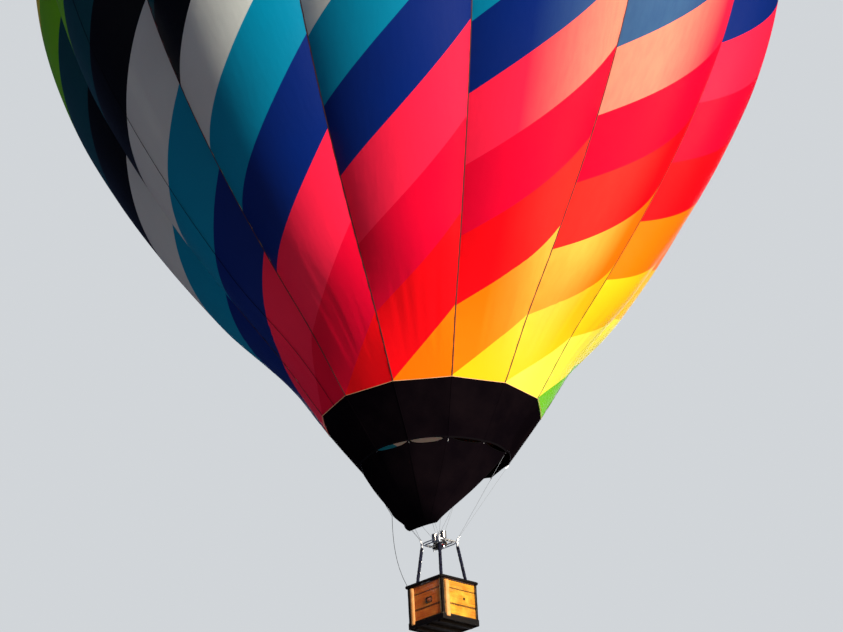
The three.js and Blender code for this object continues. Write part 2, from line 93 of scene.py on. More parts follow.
def place_camera():
    data = bpy.data.cameras.new("photo_camera")
    data.sensor_fit = "HORIZONTAL"
    data.sensor_width = 36
    data.lens = LENS
    data.clip_end = 600
    pitch, roll, yaw = (math.radians(a) for a in CAMERA_TURNS)
    ahead = Vector((math.sin(yaw) * math.cos(pitch), math.cos(yaw) * math.cos(pitch), math.sin(pitch)))
    level = Vector((math.cos(yaw), -math.sin(yaw), 0))
    upward = level.cross(ahead)
    right = math.cos(roll) * level + math.sin(roll) * upward
    above = -math.sin(roll) * level + math.cos(roll) * upward
    turn = Matrix.Rotation(math.radians(45), 3, "Z")
    facing = (turn @ Matrix((right, above, -ahead)).transposed()).to_4x4()
    camera = bpy.data.objects.new("photo_camera", data)
    bpy.context.scene.collection.objects.link(camera)
    camera.matrix_world = Matrix.Translation(CAMERA_AT) @ facing
    bpy.context.scene.camera = camera


place_camera()


# Finishes

def paint(code):
    """Linear colour of a paint-chart code such as d81e5b."""
    parts = [int(code[i:i + 2], 16) / 255 for i in (0, 2, 4)]
    return [c / 12.92 if c <= 0.04045 else ((c + 0.055) / 1.055) ** 2.4 for c in parts] + [1.0]


def darker(code, part):
    """The colour of a code with only a part of its light."""
    return [c * part for c in paint(code)[:3]] + [1]


class Amount:
    """A socket of a finish that can be used in sums."""

    def __init__(self, finish, socket):
        self.finish = finish
        self.socket = socket

    def __add__(self, other):
        return self.finish.sum("ADD", self, other)

    def __sub__(self, other):
        return self.finish.sum("SUBTRACT", self, other)

    def __mul__(self, other):
        return self.finish.sum("MULTIPLY", self, other)

    def __truediv__(self, other):
        return self.finish.sum("DIVIDE", self, other)

    def __rsub__(self, other):
        return self.finish.sum("SUBTRACT", other, self)

    def __rtruediv__(self, other):
        return self.finish.sum("DIVIDE", other, self)

    __radd__ = __add__
    __rmul__ = __mul__


class Finish:
    """One material, built from nodes."""

    def __init__(self, name):
        self.material = bpy.data.materials.new(name)
        self.material.use_nodes = True
        self.tree = self.material.node_tree
        self.tree.nodes.clear()

    def put(self, kind, settings=None, inputs=None, output=0):
        """Adds a node: its settings, then its sockets' values or links. Returns one output."""
        node = self.tree.nodes.new(kind)
        for key, value in (settings or {}).items():
            setattr(node, key, value)
        for key, value in (inputs or {}).items():
            if isinstance(value, Amount):
                self.tree.links.new(value.socket, node.inputs[key])
            elif value is not None:
                node.inputs[key].default_value = value
        return Amount(self, node.outputs[output])

    def sum(self, operation, *values):
        return self.put("ShaderNodeMath", {"operation": operation}, dict(enumerate(values)))

    def blend(self, part, first, second):
        return self.put("ShaderNodeMix", {"data_type": "RGBA"}, {0: part, 6: first, 7: second}, 2)

    def place(self):
        return self.put("ShaderNodeTexCoord", output="Object")

    def cloth_place(self):
        return self.put("ShaderNodeUVMap", {"uv_map": "cloth"})

    def axes(self, place):
        parts = self.put("ShaderNodeSeparateXYZ", {}, {0: place})
        node = parts.socket.node
        return [Amount(self, node.outputs[i]) for i in range(3)]

    def stretched(self, place, scale):
        return self.put("ShaderNodeMapping", {}, {"Vector": place, "Scale": scale})

    def noise(self, place, scale, detail=3.0, roughness=0.55):
        return self.put("ShaderNodeTexNoise", {},
                        {"Vector": place, "Scale": scale, "Detail": detail, "Roughness": roughness})

    def cells(self, place, scale, feature="F1"):
        return self.put("ShaderNodeTexVoronoi", {"feature": feature}, {"Vector": place, "Scale": scale})

    def span(self, value, low, high, to_low=0.0, to_high=1.0):
        return self.put("ShaderNodeMapRange", {"clamp": True},
                        {0: value, 1: low, 2: high, 3: to_low, 4: to_high})

    def stripes(self, value, period, width):
        """1 on lines of the given width that repeat, else 0."""
        return self.sum("LESS_THAN", self.sum("FRACT", value / period), width / period)

    def relief(self, height, distance, strength=1.0):
        return self.put("ShaderNodeBump", {}, {"Height": height, "Distance": distance, "Strength": strength})

    def surface(self, colour, roughness, relief=None, **fixed):
        inputs = {"Base Color": colour, "Roughness": roughness, "Normal": relief}
        inputs.update({key.replace("_", " "): value for key, value in fixed.items()})
        return self.put("ShaderNodeBsdfPrincipled", {}, inputs)

    def done(self, shader):
        out = self.tree.nodes.new("ShaderNodeOutputMaterial")
        self.tree.links.new(shader.socket, out.inputs["Surface"])
        return self.material


def ripstop(name, code, glow, painted_highlight=None, through=0.2, gloss=0.1):
    """Coated envelope fabric with a ripstop grid, which lets light through.

    Where a highlight colour is given, the side that faces the key light has a soft upright patch of it: a
    painted highlight of the sun's glow."""
    f = Finish(name)
    across, along, _ = f.axes(f.cloth_place())
    threads = f.sum("MAXIMUM", f.stripes(across, 0.01, 0.0012), f.stripes(along, 0.01, 0.0012))
    fade = f.noise(f.place(), 0.35, 4)
    crease = f.noise(f.stretched(f.cloth_place(), (5.0, 1.2, 1)), 1.4, 5)
    base = paint(code)
    worn = [0.86 * c + 0.001 for c in base[:3]] + [1]
    colour = f.blend(f.span(fade, 0.35, 0.65) * 0.6, base, worn)
    colour = f.blend(threads * 0.25, colour, worn)
    # Painted highlight: a lighter upright patch on the side of the envelope that faces the key light.
    if painted_highlight:
        deep, side, up = f.axes(f.place())
        turned = side / deep
        patch = f.span(turned, -0.44, -0.1) * f.span(turned, 0.08, 0.32, 0.85, 0.0)
        patch = patch * f.span(deep, 2.5, 5.0) * f.span(up, 6.0, 12.0, 0.45, 1.0)
        patch = patch * f.span(up, 20.0, 23.0, 1.0, 0.0)
        colour = f.blend(patch * f.span(crease, 0.3, 0.6, 0.85, 1.0), colour, paint(painted_highlight))
    rough = f.span(fade, 0.3, 0.7, 0.36, 0.5)
    skin = f.surface(colour, rough, f.relief(crease + threads * 0.06, 0.02, 0.35),
                     Specular_IOR_Level=gloss)
    behind = f.put("ShaderNodeBsdfTranslucent", {}, {"Color": paint(glow)})
    return f.done(f.put("ShaderNodeMixShader", {}, {0: through, 1: skin, 2: behind}))


# The third colour of a cloth, where given, is the colour of its painted highlight.
PANEL_CLOTH = [
    ripstop("lime_cloth", "74cc20", "8fe03a", "a8d850"),
    ripstop("lemon_cloth", "fff450", "fff05a", "fff4a0"),
    ripstop("yellow_cloth", "ffc814", "ffc81e", "fff078"),
    ripstop("orange_cloth", "ff7c00", "ff8404", "ffe060"),
    ripstop("red_cloth", "fc0412", "ff0c18", "ff3a2e"),
    ripstop("crimson_cloth", "e80030", "f40034"),
    ripstop("rose_cloth", "fa2046", "ff2c4c", "ff9a7c"),
    ripstop("navy_cloth", "02206a", "06287c", "3a6088", through=0.15),
    ripstop("teal_cloth", "0080a4", "0690ae", "10a0b0"),
    ripstop("beige_cloth", "c4cac6", "d0d6ca", gloss=0.2),
    ripstop("black_cloth", "060509", "0a080c", through=0.08, gloss=0.1),
    ripstop("bottle_cloth", "0a4450", "0a5a50", gloss=0.2),
]
BOTTLE_CLOTH = PANEL_CLOTH[-1]


def heat_cloth():
    f = Finish("heat_proof_cloth")
    place = f.place()
    weave = f.noise(f.stretched(place, (60, 60, 8)), 4, 3)
    dust = f.noise(place, 0.9, 5)
    colour = f.blend(f.span(dust, 0.4, 0.7), paint("080508"), paint("100a0d"))
    crease = f.noise(f.stretched(place, (1, 1, 0.3)), 5, 4)
    return f.done(f.surface(colour, f.span(dust, 0.3, 0.7, 0.58, 0.76),
                            f.relief(crease + weave * 0.02, 0.012, 0.4), Specular_IOR_Level=0.0))


def webbing(name, code, pale, shine=0.3):
    f = Finish(name)
    place = f.place()
    ribs = f.noise(f.stretched(place, (1, 1, 0.4)), 160, 2)
    wear = f.noise(place, 3, 4)
    colour = f.blend(f.span(wear, 0.35, 0.7) * 0.5, paint(code), paint(pale))
    return f.done(f.surface(colour, f.span(wear, 0.3, 0.7, 0.6, 0.8), f.relief(ribs, 0.002, 0.6),
                            Specular_IOR_Level=shine))


def hide(name, code, pale, grain=90.0, rough=(0.42, 0.62), shine=0.12):
    """Leather with pores, creases and rubbed patches."""
    f = Finish(name)
    place = f.place()
    pores = f.cells(place, grain, "DISTANCE_TO_EDGE")
    crease = f.noise(place, 11, 6, 0.62)
    rub = f.noise(place, 4.5, 5)
    colour = f.blend(f.span(rub, 0.42, 0.68), paint(code), paint(pale))
    colour = f.blend(f.span(pores, 0.0, 0.05, 0.35, 0.0), colour, darker(code, 0.4))
    height = f.span(pores, 0.0, 0.12) * 0.35 + crease
    return f.done(f.surface(colour, f.span(rub, 0.3, 0.7, *rough), f.relief(height, 0.004, 0.7),
                            Specular_IOR_Level=shine))


def padding_cloth():
    f = Finish("navy_padding")
    place = f.place()
    across, deep, up = f.axes(place)
    weave = f.sum("SINE", (across + deep) * 1600) * f.sum("SINE", up * 1600)
    wear = f.noise(place, 14, 4)
    colour = f.blend(f.span(wear, 0.4, 0.7), paint("05071a"), paint("0b0f28"))
    return f.done(f.surface(colour, f.span(wear, 0.3, 0.7, 0.62, 0.8),
                            f.relief(weave * 0.08 + f.noise(place, 30, 3), 0.003, 0.5), Sheen_Weight=0.03,
                            Specular_IOR_Level=0.15))


def cane(name, dark, mid, pale, gloss):
    """Willow and cane: fibres along the rod, knots and colour from rod to rod, and painted shade inside the
    basket.
    """
    f = Finish(name)
    place = f.place()
    across, deep, _ = f.axes(place)
    reach = f.sum("MAXIMUM", f.sum("ABSOLUTE", across), f.sum("ABSOLUTE", deep))
    inside = f.span(reach, 0.574, 0.588, 1.0, 0.0)
    rod_tone = f.noise(f.stretched(place, (2.2, 2.2, 46)), 1, 1)
    patch = f.noise(place, 3.1, 4)
    fibre = f.noise(f.stretched(place, (5, 5, 320)), 1, 4)
    knots = f.cells(f.stretched(place, (9, 9, 60)), 1)
    colour = f.blend(f.span(rod_tone, 0.34, 0.66), paint(dark), paint(mid))
    colour = f.blend(f.span(patch, 0.42, 0.7), colour, paint(pale))
    colour = f.blend(f.span(knots, 0.0, 0.13, 0.65, 0.0), colour, darker(dark, 0.3))
    # Painted shade: the inside faces of the walls go almost black.
    shade = inside * f.span(patch, 0.3, 0.6, 0.98, 0.9)
    colour = f.blend(shade, colour, darker(dark, 0.02))
    rough = f.span(fibre, 0.3, 0.7, 0.34, 0.6)
    return f.done(f.surface(colour, rough, f.relief(fibre, 0.002, 0.5),
                            Coat_Weight=gloss, Coat_Roughness=0.3))


def metal(name, code, rough, brushed=(1, 1, 40), metallic=1.0, stain=None):
    f = Finish(name)
    place = f.place()
    brush = f.noise(f.stretched(place, brushed), 14, 4)
    spots = f.noise(place, 9, 5)
    colour = f.blend(f.span(spots, 0.48, 0.75) * 0.7, paint(code), paint(stain or code))
    roughness = f.span(brush, 0.3, 0.7, rough[0], rough[1])
    return f.done(f.surface(colour, roughness, f.relief(brush, 0.0006, 0.25), Metallic=metallic))


def strand_wire():
    f = Finish("strand_wire")
    place = f.place()
    across, deep, up = f.axes(place)
    twist = f.sum("SINE", up * 500 + across * 300 + deep * 300)
    tone = f.noise(place, 20, 3)
    colour = f.blend(tone, paint("5e646c"), paint("8e949c"))
    return f.done(f.surface(colour, f.span(tone, 0.3, 0.7, 0.6, 0.75), f.relief(twist, 0.0004, 0.3),
                            Metallic=0.15, Specular_IOR_Level=0.2))


def timber(name, dark, pale, along):
    f = Finish(name)
    place = f.place()
    rings = f.noise(f.stretched(place, along), 3, 5, 0.65)
    pores = f.noise(f.stretched(place, tuple(4 * a for a in along)), 9, 3)
    dirt = f.noise(place, 4, 5)
    colour = f.blend(f.span(rings, 0.35, 0.65), paint(dark), paint(pale))
    colour = f.blend(f.span(dirt, 0.5, 0.75) * 0.6, colour, darker(dark, 0.5))
    return f.done(f.surface(colour, f.span(pores, 0.3, 0.7, 0.5, 0.75), f.relief(pores, 0.0015, 0.5),
                            Specular_IOR_Level=0.1))


def moulded(name, code, rough):
    f = Finish(name)
    place = f.place()
    speckle = f.noise(place, 240, 2)
    scuff = f.noise(place, 24, 5)
    scuffed = [min(1, c + 0.12) for c in paint(code)[:3]] + [1]
    colour = f.blend(f.span(scuff, 0.5, 0.8) * 0.35, paint(code), scuffed)
    roughness = f.span(scuff, 0.3, 0.7, rough, rough + 0.2)
    return f.done(f.surface(colour, roughness, f.relief(speckle, 0.0005, 0.4)))


HEAT_CLOTH = heat_cloth()
# Dark seam tape: partly the real load tape, partly painted shade of the valleys along the seams.
SEAM_TAPE_AND_SHADE = webbing("seam_tape_and_shade", "3a1a1a", "5a3028")
PALE_TAPE = webbing("pale_tape", "d8a070", "f0c898")
BLACK_TAPE = webbing("black_tape", "070508", "100c0f", 0.03)
DARK_LEATHER = hide("dark_leather", "070505", "130c0a")
CORNER_LEATHER = hide("corner_leather", "0a0606", "150c09", shine=0.05)
PALE_HIDE = hide("pale_hide", "c8884a", "dca264", 60.0, (0.5, 0.7), 0.2)
THREAD = webbing("thread", "b99a72", "e6cfa6")
NAVY_PADDING = padding_cloth()
WICKER = cane("wicker", "c47a22", "eca82c", "fcc648", 0.1)
# Redder copy of the wicker for the front and left walls, which face away from the key light: painted shade.
PAINTED_SHADE_WICKER = cane("painted_shade_wicker", "e86620", "ff8a30", "ffa040", 0.05)
DARK_WICKER = cane("dark_wicker", "2c1209", "4a2010", "5a2c16", 0.2)
STEEL = metal("frame_steel", "c9ccd0", (0.24, 0.4), stain="9a9da2")
BRIGHT_STEEL = metal("bright_steel", "f2f3f4", (0.3, 0.45), stain="d8dadc")
STAINLESS = metal("can_stainless", "d6d2cc", (0.16, 0.34), (1, 1, 6), stain="a08a78")
COIL = metal("coil_tube", "8e7a66", (0.25, 0.45), stain="3e4658")
BLACK_METAL = metal("black_painted_metal", "17171b", (0.35, 0.5), metallic=0.3, stain="2c2c32")
BRASS = metal("brass", "c8a24c", (0.2, 0.38), stain="8c6a2c")
ALUMINIUM = metal("cylinder_aluminium", "c2c5c9", (0.28, 0.45), (1, 1, 30), stain="a4a7ac")
WIRE = strand_wire()
# Floor ply and runner ash are near black: painted shade of the basket's underside.
PAINTED_SHADE_PLY = timber("floor_ply_painted_shade", "140e0a", "261a12", (0.6, 6, 6))
PAINTED_SHADE_ASH = timber("runner_ash_painted_shade", "120c08", "241810", (8, 0.5, 8))
RED_KNOB = moulded("red_knob", "b0141a", 0.32)
BLACK_GRIP = moulded("black_grip", "141416", 0.4)
DIAL_FACE = moulded("dial_face", "f0ece0", 0.25)


# Shapes

def unit(v):
    return v / np.maximum(np.linalg.norm(v, axis=-1, keepdims=True), 1e-12)


class Shape:
    """Collects faces of one piece; kind is the number of their finish."""

    def __init__(self):
        self.points = []
        self.faces = []
        self.kinds = []
        self.places = []
        self.count = 0

    def add(self, points, faces, kind=0, places=None):
        points = np.asarray(points, float).reshape(-1, 3)
        self.points.append(points)
        self.faces += [tuple(int(i) + self.count for i in face) for face in faces]
        self.kinds += list(kind) if hasattr(kind, "__len__") else [kind] * len(faces)
        if places is None:
            places = np.zeros((len(points), 2))
        self.places.append(np.asarray(places).reshape(-1, 2))
        self.count += len(points)

    def grid(self, points, kind=0, places=None, loop=False, keep=None):
        rows, columns = points.shape[:2]
        last = columns if loop else columns - 1
        faces, kinds = [], []
        for row in range(rows - 1):
            for column in range(last):
                if keep is not None and not keep[row, column]:
                    continue
                beside = (column + 1) % columns
                faces.append((row * columns + column, row * columns + beside,
                              (row + 1) * columns + beside, (row + 1) * columns + column))
                kinds.append(kind[row] if hasattr(kind, "__len__") else kind)
        self.add(points, faces, kinds, places)

    def tube(self, path, radius, sides=8, loop=False, kind=0, up=None, flat=1.0):
        """Round bar along a path; flat squeezes it along up, radius may change from point to point."""
        path = np.asarray(path, float)
        if loop:
            way = np.roll(path, -1, 0) - np.roll(path, 1, 0)
        else:
            way = np.gradient(path, axis=0)
        way = unit(way)
        if up is None:
            mean = np.abs(way).mean(0)
            up = np.eye(3)[int(np.argmin(mean))]
        side = unit(np.cross(way, np.broadcast_to(up, way.shape)))
        over = np.cross(side, way)
        turn = np.arange(sides) * TAU / sides
        radius = np.broadcast_to(np.asarray(radius, float), (len(path),))[:, None, None]
        ring = (path[:, None] + radius * (np.cos(turn)[None, :, None] * side[:, None]
                + flat * np.sin(turn)[None, :, None] * over[:, None]))
        start = self.count
        if loop:
            ring = np.concatenate([ring, ring[:1]])
        self.grid(ring, kind, loop=True)
        if not loop:
            ends = len(ring) * sides
            self.faces.append(tuple(start + i for i in range(sides)))
            self.faces.append(tuple(start + ends - sides + i for i in reversed(range(sides))))
            self.kinds += [kind, kind]

    def turned(self, profile, centre=(0, 0, 0), segments=32, kind=0, axis="z"):
        """Lathe work: radius and height pairs round an axis through centre."""
        profile = np.asarray(profile, float)
        turn = np.arange(segments) * TAU / segments
        r, h = profile[:, 0][:, None], profile[:, 1][:, None]
        parts = [r * np.cos(turn), r * np.sin(turn), h + 0 * turn]
        order = {"z": (0, 1, 2), "x": (2, 0, 1), "y": (1, 2, 0)}[axis]
        self.grid(np.stack([parts[i] for i in order], -1) + np.asarray(centre), kind, loop=True)

    def block(self, low, high, edge=0.003, kind=0):
        """Block with rounded edges."""
        low, high = np.asarray(low, float), np.asarray(high, float)
        bm = bmesh.new()
        bmesh.ops.create_cube(bm, size=1)
        bmesh.ops.scale(bm, vec=(high - low).tolist(), verts=bm.verts)
        bmesh.ops.bevel(bm, geom=bm.edges[:], offset=edge, segments=2, affect="EDGES", profile=0.5)
        points = np.array([v.co[:] for v in bm.verts])
        bm.verts.index_update()
        faces = [[v.index for v in face.verts] for face in bm.faces]
        bm.free()
        self.add(points + (low + high) / 2, faces, kind)

    def mesh(self, name, finishes, sharp=40, weld=1e-6):
        mesh = bpy.data.meshes.new(name)
        points = np.concatenate(self.points)
        mesh.from_pydata(points.tolist(), [], self.faces)
        for finish in finishes:
            mesh.materials.append(finish)
        mesh.polygons.foreach_set("material_index", np.array(self.kinds, np.int32))
        places = np.concatenate(self.places)
        if np.any(places):
            layer = mesh.uv_layers.new(name="cloth")
            corners = np.empty(len(mesh.loops), np.int32)
            mesh.loops.foreach_get("vertex_index", corners)
            layer.data.foreach_set("uv", places[corners].astype(np.float32).ravel())
        mesh.polygons.foreach_set("use_smooth", np.ones(len(mesh.polygons), bool))
        mesh.update()
        if weld:
            bm = bmesh.new()
            bm.from_mesh(mesh)
            bmesh.ops.remove_doubles(bm, verts=bm.verts, dist=weld)
            bm.to_mesh(mesh)
            bm.free()
        mesh.set_sharp_from_angle(angle=math.radians(sharp))
        return mesh

    def make(self, name, finishes, body=ENVELOPE, replaces=(), slot=None, sharp=40, weld=1e-6):
        piece = bpy.data.objects.new(name, self.mesh(name, finishes, sharp, weld))
        bpy.context.scene.collection.objects.link(piece)
        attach(piece, body)
        if replaces:
            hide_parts(*replaces)
        return piece


def round_axis(radius, angle, height, x=0.0, y=0.0):
    """Points at a radius and an angle round the upright axis through x, y."""
    radius, angle, height = np.broadcast_arrays(radius, angle, height)
    return np.stack([x + radius * np.cos(angle), y + radius * np.sin(angle), height], -1)


def square_path(half, corner, z, step=0.03, corner_steps=8):
    """Rounded square round the Z axis, counter-clockwise."""
    path = []
    centre = half - corner
    for quarter, (sx, sy) in enumerate(((1, 1), (-1, 1), (-1, -1), (1, -1))):
        for i in range(corner_steps + 1):
            a = math.pi / 2 * (quarter + i / corner_steps)
            path.append((sx * centre + corner * math.cos(a), sy * centre + corner * math.sin(a), z))
        ahead = [(-1, 0), (0, -1), (1, 0), (0, 1)][quarter]
        start = path[-1]
        count = max(1, round(2 * centre / step))
        for i in range(1, count):
            path.append((start[0] + ahead[0] * 2 * centre * i / count,
                         start[1] + ahead[1] * 2 * centre * i / count, z))
    return np.array(path)


def run_of(path):
    """Direction along a closed level path, direction out of it, and the length up to each point."""
    way = unit(np.roll(path, -1, 0) - np.roll(path, 1, 0))
    along = np.concatenate([[0], np.cumsum(np.linalg.norm(np.diff(path, axis=0), axis=1))])
    return way, np.cross(way, UPWARD), along


# Envelope skin, the same form as the solids: seam line, then a bulge across each gore

def seam_line(t):
    """Radius and height on a seam, t from 0 at the mouth to 1 at the top."""
    last = len(SEAM_LINE) - 1
    at = np.clip(np.asarray(t, float), 0, 1) * last
    index = np.minimum(at.astype(int), last - 1)
    w = (at - index)[..., None]
    line = np.vstack([2 * SEAM_LINE[0] - SEAM_LINE[1], SEAM_LINE, 2 * SEAM_LINE[-1] - SEAM_LINE[-2]])
    p0, p1, p2, p3 = (line[index + i] for i in range(4))
    gaps = ((p0, p1), (p1, p2), (p2, p3))
    d0, d1, d2 = (np.sqrt(np.linalg.norm(b - a, axis=-1, keepdims=True)) for a, b in gaps)
    t1 = ((p1 - p0) / d0 - (p2 - p0) / (d0 + d1) + (p2 - p1) / d1) * d1
    t2 = ((p2 - p1) / d1 - (p3 - p1) / (d1 + d2) + (p3 - p2) / d2) * d1
    return (2 * p1 - 2 * p2 + t1 + t2) * w ** 3 + (3 * p2 - 3 * p1 - 2 * t1 - t2) * w ** 2 + t1 * w + p1


TABLE_T = np.linspace(0, 1, 6001)
TABLE_SEAM = seam_line(TABLE_T)
TABLE_LENGTH = np.concatenate([[0], np.cumsum(np.linalg.norm(np.diff(TABLE_SEAM, axis=0), axis=1))])
LOWER, UPPER = slice(0, 3000), slice(3600, 6001)
TABLE_LENGTH -= np.interp(BAND_TOP, TABLE_SEAM[LOWER, 1], TABLE_LENGTH[LOWER])
MOUTH_LENGTH = TABLE_LENGTH[0]
TOP_LENGTH = np.interp(-VENT_HOLE_R, -TABLE_SEAM[UPPER, 0], TABLE_LENGTH[UPPER])


def skin(length, u, k, out=0.0):
    """Points of gore k: length up the seam from the band's top, u from -1 to 1 across it."""
    length, u, k, out = np.broadcast_arrays(length, u, k, out)
    t = np.interp(length, TABLE_LENGTH, TABLE_T)
    seam = seam_line(t)
    way = unit(seam_line(np.minimum(t + 1e-4, 1)) - seam_line(np.maximum(t - 1e-4, 0)))
    normal_r, normal_z = way[..., 1], -way[..., 0]
    r, z = seam[..., 0], seam[..., 1]
    half = GORE_TURN / 2
    side = r * math.sin(half)
    fade = np.clip((z - BAND_TOP) / (BULGE_FULL - BAND_TOP), 0, 1)
    fade = fade * fade * (3 - 2 * fade)
    sag = r * (BULGE * fade * np.maximum(0, normal_r) + FLAT_BULGE)
    arc = (side ** 2 + sag ** 2) / (2 * sag)
    reach = np.arcsin(np.minimum(1, side / arc))
    lateral = arc * np.sin(u * reach)
    lift = arc * (np.cos(u * reach) - np.cos(reach))
    depth = SKIN_MIDDLE - out
    outward = r * math.cos(half) + lift * normal_r
    angle = FIRST_SEAM + GORE_TURN * (k + 0.5) + np.arctan2(lateral, outward)
    reached = np.hypot(lateral, outward) - depth * normal_r
    return round_axis(reached, angle, z + (lift - depth) * normal_z), arc * u * reach


# Gores: diagonal bands in twelve colours, which start one colour earlier from gore to gore

def left_step(band):
    """Length up a gore's left seam, seen from outside, at which a band begins."""
    return 0.03 + 1.72 * band


def right_step(band):
    """Length up a gore's right seam at which a band begins."""
    return 1.8 + 2.31 * band


GORE_WIDTH = skin(TABLE_LENGTH, 1.0, 0)[1]


def colour_edge(band, across):
    """Length up the seam along an edge between two colours, straight in the flat cut of the gore."""
    left, right = left_step(band), right_step(band)
    plain = left + (right - left) * (across + 1) / 2
    left_width = np.interp(left, TABLE_LENGTH, GORE_WIDTH)
    right_width = np.interp(right, TABLE_LENGTH, GORE_WIDTH)
    straight = plain
    for _ in range(30):
        place = across * np.interp(straight, TABLE_LENGTH, GORE_WIDTH) + left_width
        straight = (straight + left + (right - left) * place / (left_width + right_width)) / 2
    return plain + (straight - plain) * np.clip((9 - band) / 2, 0, 1)


def fold(u, half_width, centre, width):
    return np.exp(-(((u - centre) * half_width) / width) ** 2)


def cloth_relief(length, u, k, half_width):
    """Gathers beside the seams and the fine upright folds low in each gore."""
    chance = random.Random(40 + k)
    edge = (1 - np.abs(u)) * half_width
    phase = chance.uniform(0, TAU)
    waver = 1.6 * np.sin(0.9 * length + k)
    gathers = 0.007 * np.exp(-edge / 0.16) * np.sin(TAU * length / 0.46 + phase + waver)
    slack = 0.012 * np.sin(1.1 * length + phase) * np.sin(2.2 * u + phase) * (1 - u ** 2)
    window = np.clip((length - 0.5) / 1.4, 0, 1) * np.clip((6.2 - length) / 2.6, 0, 1)
    folds = 0
    for number in range(7):
        centre = chance.uniform(-0.5, 0.55) if k != 1 else -0.12 + 0.085 * number
        lean = chance.uniform(-0.02, 0.02)
        top = chance.uniform(2.6, 4.6)
        this = np.clip((top - length) / 1.2, 0, 1) * window
        folds = folds - fold(u, half_width, centre + lean * (length - 2), 0.045) * this
    strength = 0.03 if k == 1 else 0.012
    return gathers + slack + strength * folds


def gore_cloth(k):
    columns, per_band, bands = 40, 14, 16
    reach = math.pi / 2 * 0.86
    across = np.sin(np.linspace(-1, 1, columns + 1) * reach) / math.sin(reach)
    band = np.arange(bands * per_band + 1)[:, None] / per_band - 1
    length = np.clip(colour_edge(band, across), 0, TOP_LENGTH)
    half_width = skin(length, 1.0, k)[1]
    relief = cloth_relief(length, across, k, half_width)
    points, width_place = skin(length, across, k, relief)
    keep = np.abs(np.diff(length, axis=0)) > 1e-6
    keep = keep[:, :-1] | keep[:, 1:]
    kinds = [(3 - k + row // per_band) % len(PANEL_CLOTH) for row in range(bands * per_band)]
    shape = Shape()
    shape.grid(points, kinds, np.stack([width_place, length], -1), keep=keep)
    piece = shape.make(f"gore_cloth_{k + 1:02d}", PANEL_CLOTH, replaces=[f"gore_{k + 1:02d}"],
                       slot="envelope_fabric", weld=1e-5)


for gore in range(GORES):
    gore_cloth(gore)


def seam_strip(shape, k, low, high, width, kind, out, steps):
    """Flat tape on the seam between two gores; its dark colour is also painted shade of the seam's valley."""
    length = np.linspace(low, high, steps)
    edge = skin(length, 1.0, k)[1]
    left, _ = skin(length, 1 - width / 2 / edge, k, out)
    middle, _ = skin(length, 1.0, k, out + 0.004)
    right, _ = skin(length, -1 + width / 2 / edge, k + 1, out)
    shape.grid(np.stack([left, middle, right], 1), kind)


def seam_tapes():
    shape = Shape()
    for k in range(GORES):
        seam_strip(shape, k, 0.0, TOP_LENGTH, 0.03, 0, 0.006, 220)
        seam_strip(shape, k, MOUTH_LENGTH, 0.0, 0.03, 1, 0.005, 12)
    shape.make("seam_tapes", [SEAM_TAPE_AND_SHADE, HEAT_CLOTH], slot="tape")


seam_tapes()


# Base band, with an arched hem between the wire tabs

def base_cloth():
    rows, columns = 18, 20
    u = np.linspace(-1, 1, columns + 1)
    shape = Shape()
    for k in range(GORES):
        low = MOUTH_LENGTH + MOUTH_ARCH[k] * (1 - u ** 2)
        length = low - low * np.linspace(0, 1, rows + 1)[:, None]
        creases = 0.006 * np.sin(9 * length + k) * np.sin(5 * u + 2 * k) * (1 - u ** 2)
        points, place = skin(length, u, k, creases)
        shape.grid(points, 0, np.stack([place, length], -1))
    band = shape.make("base_cloth", [HEAT_CLOTH], replaces=["base_band"], slot="black_fabric", weld=1e-4)

    hems = Shape()
    for k in range(GORES):
        u = np.linspace(-1, 1, 25)
        low = MOUTH_LENGTH + MOUTH_ARCH[k] * (1 - u ** 2)
        outside = [(low, 0.006), (low + 0.045, 0.006)]
        inside = [(low + 0.045, -0.004), (low, -0.004)]
        top = [(0.0, 0.012), (0.003, 0.02), (0.014, 0.02)]
        for strip, kind in ((outside, 1), (inside, 1), (top, 0)):
            hems.grid(np.stack([skin(length, u, k, out)[0] for length, out in strip]), kind)
    hems.make("hem_tapes", [PALE_TAPE, BLACK_TAPE], slot="tape", weld=1e-5)


base_cloth()


def mouth_tabs():
    """A webbing loop and ring at each seam of the mouth, where a flying wire ends."""
    shape = Shape()
    for k in range(GORES):
        angle = FIRST_SEAM + GORE_TURN * k
        outward = np.array([math.cos(angle), math.sin(angle), 0])
        side = np.array([-math.sin(angle), math.cos(angle), 0])
        top = TAB_TOP_R * outward + TAB_TOP_Z * UPWARD
        low = TAB_LOW_R * outward + TAB_LOW_Z * UPWARD
        for way in (1, -1):
            rows = ((top, 0.02, outward * 0.006 * way), (low, 0.018, outward * 0.007 * way),
                    (low, 0.016, UPWARD * -0.012))
            shape.grid(np.stack([[at + side * half + shift, at - side * half + shift]
                                 for at, half, shift in rows]), 0)
        turn = np.arange(16)[:, None] * TAU / 16
        ring = low - 0.004 * UPWARD + 0.017 * (np.cos(turn) * outward + np.sin(turn) * UPWARD)
        shape.tube(ring, 0.0035, 6, loop=True, kind=1, up=side)
    shape.make("mouth_tabs", [BLACK_TAPE, BRIGHT_STEEL], slot="tape")


mouth_tabs()


# Scoop

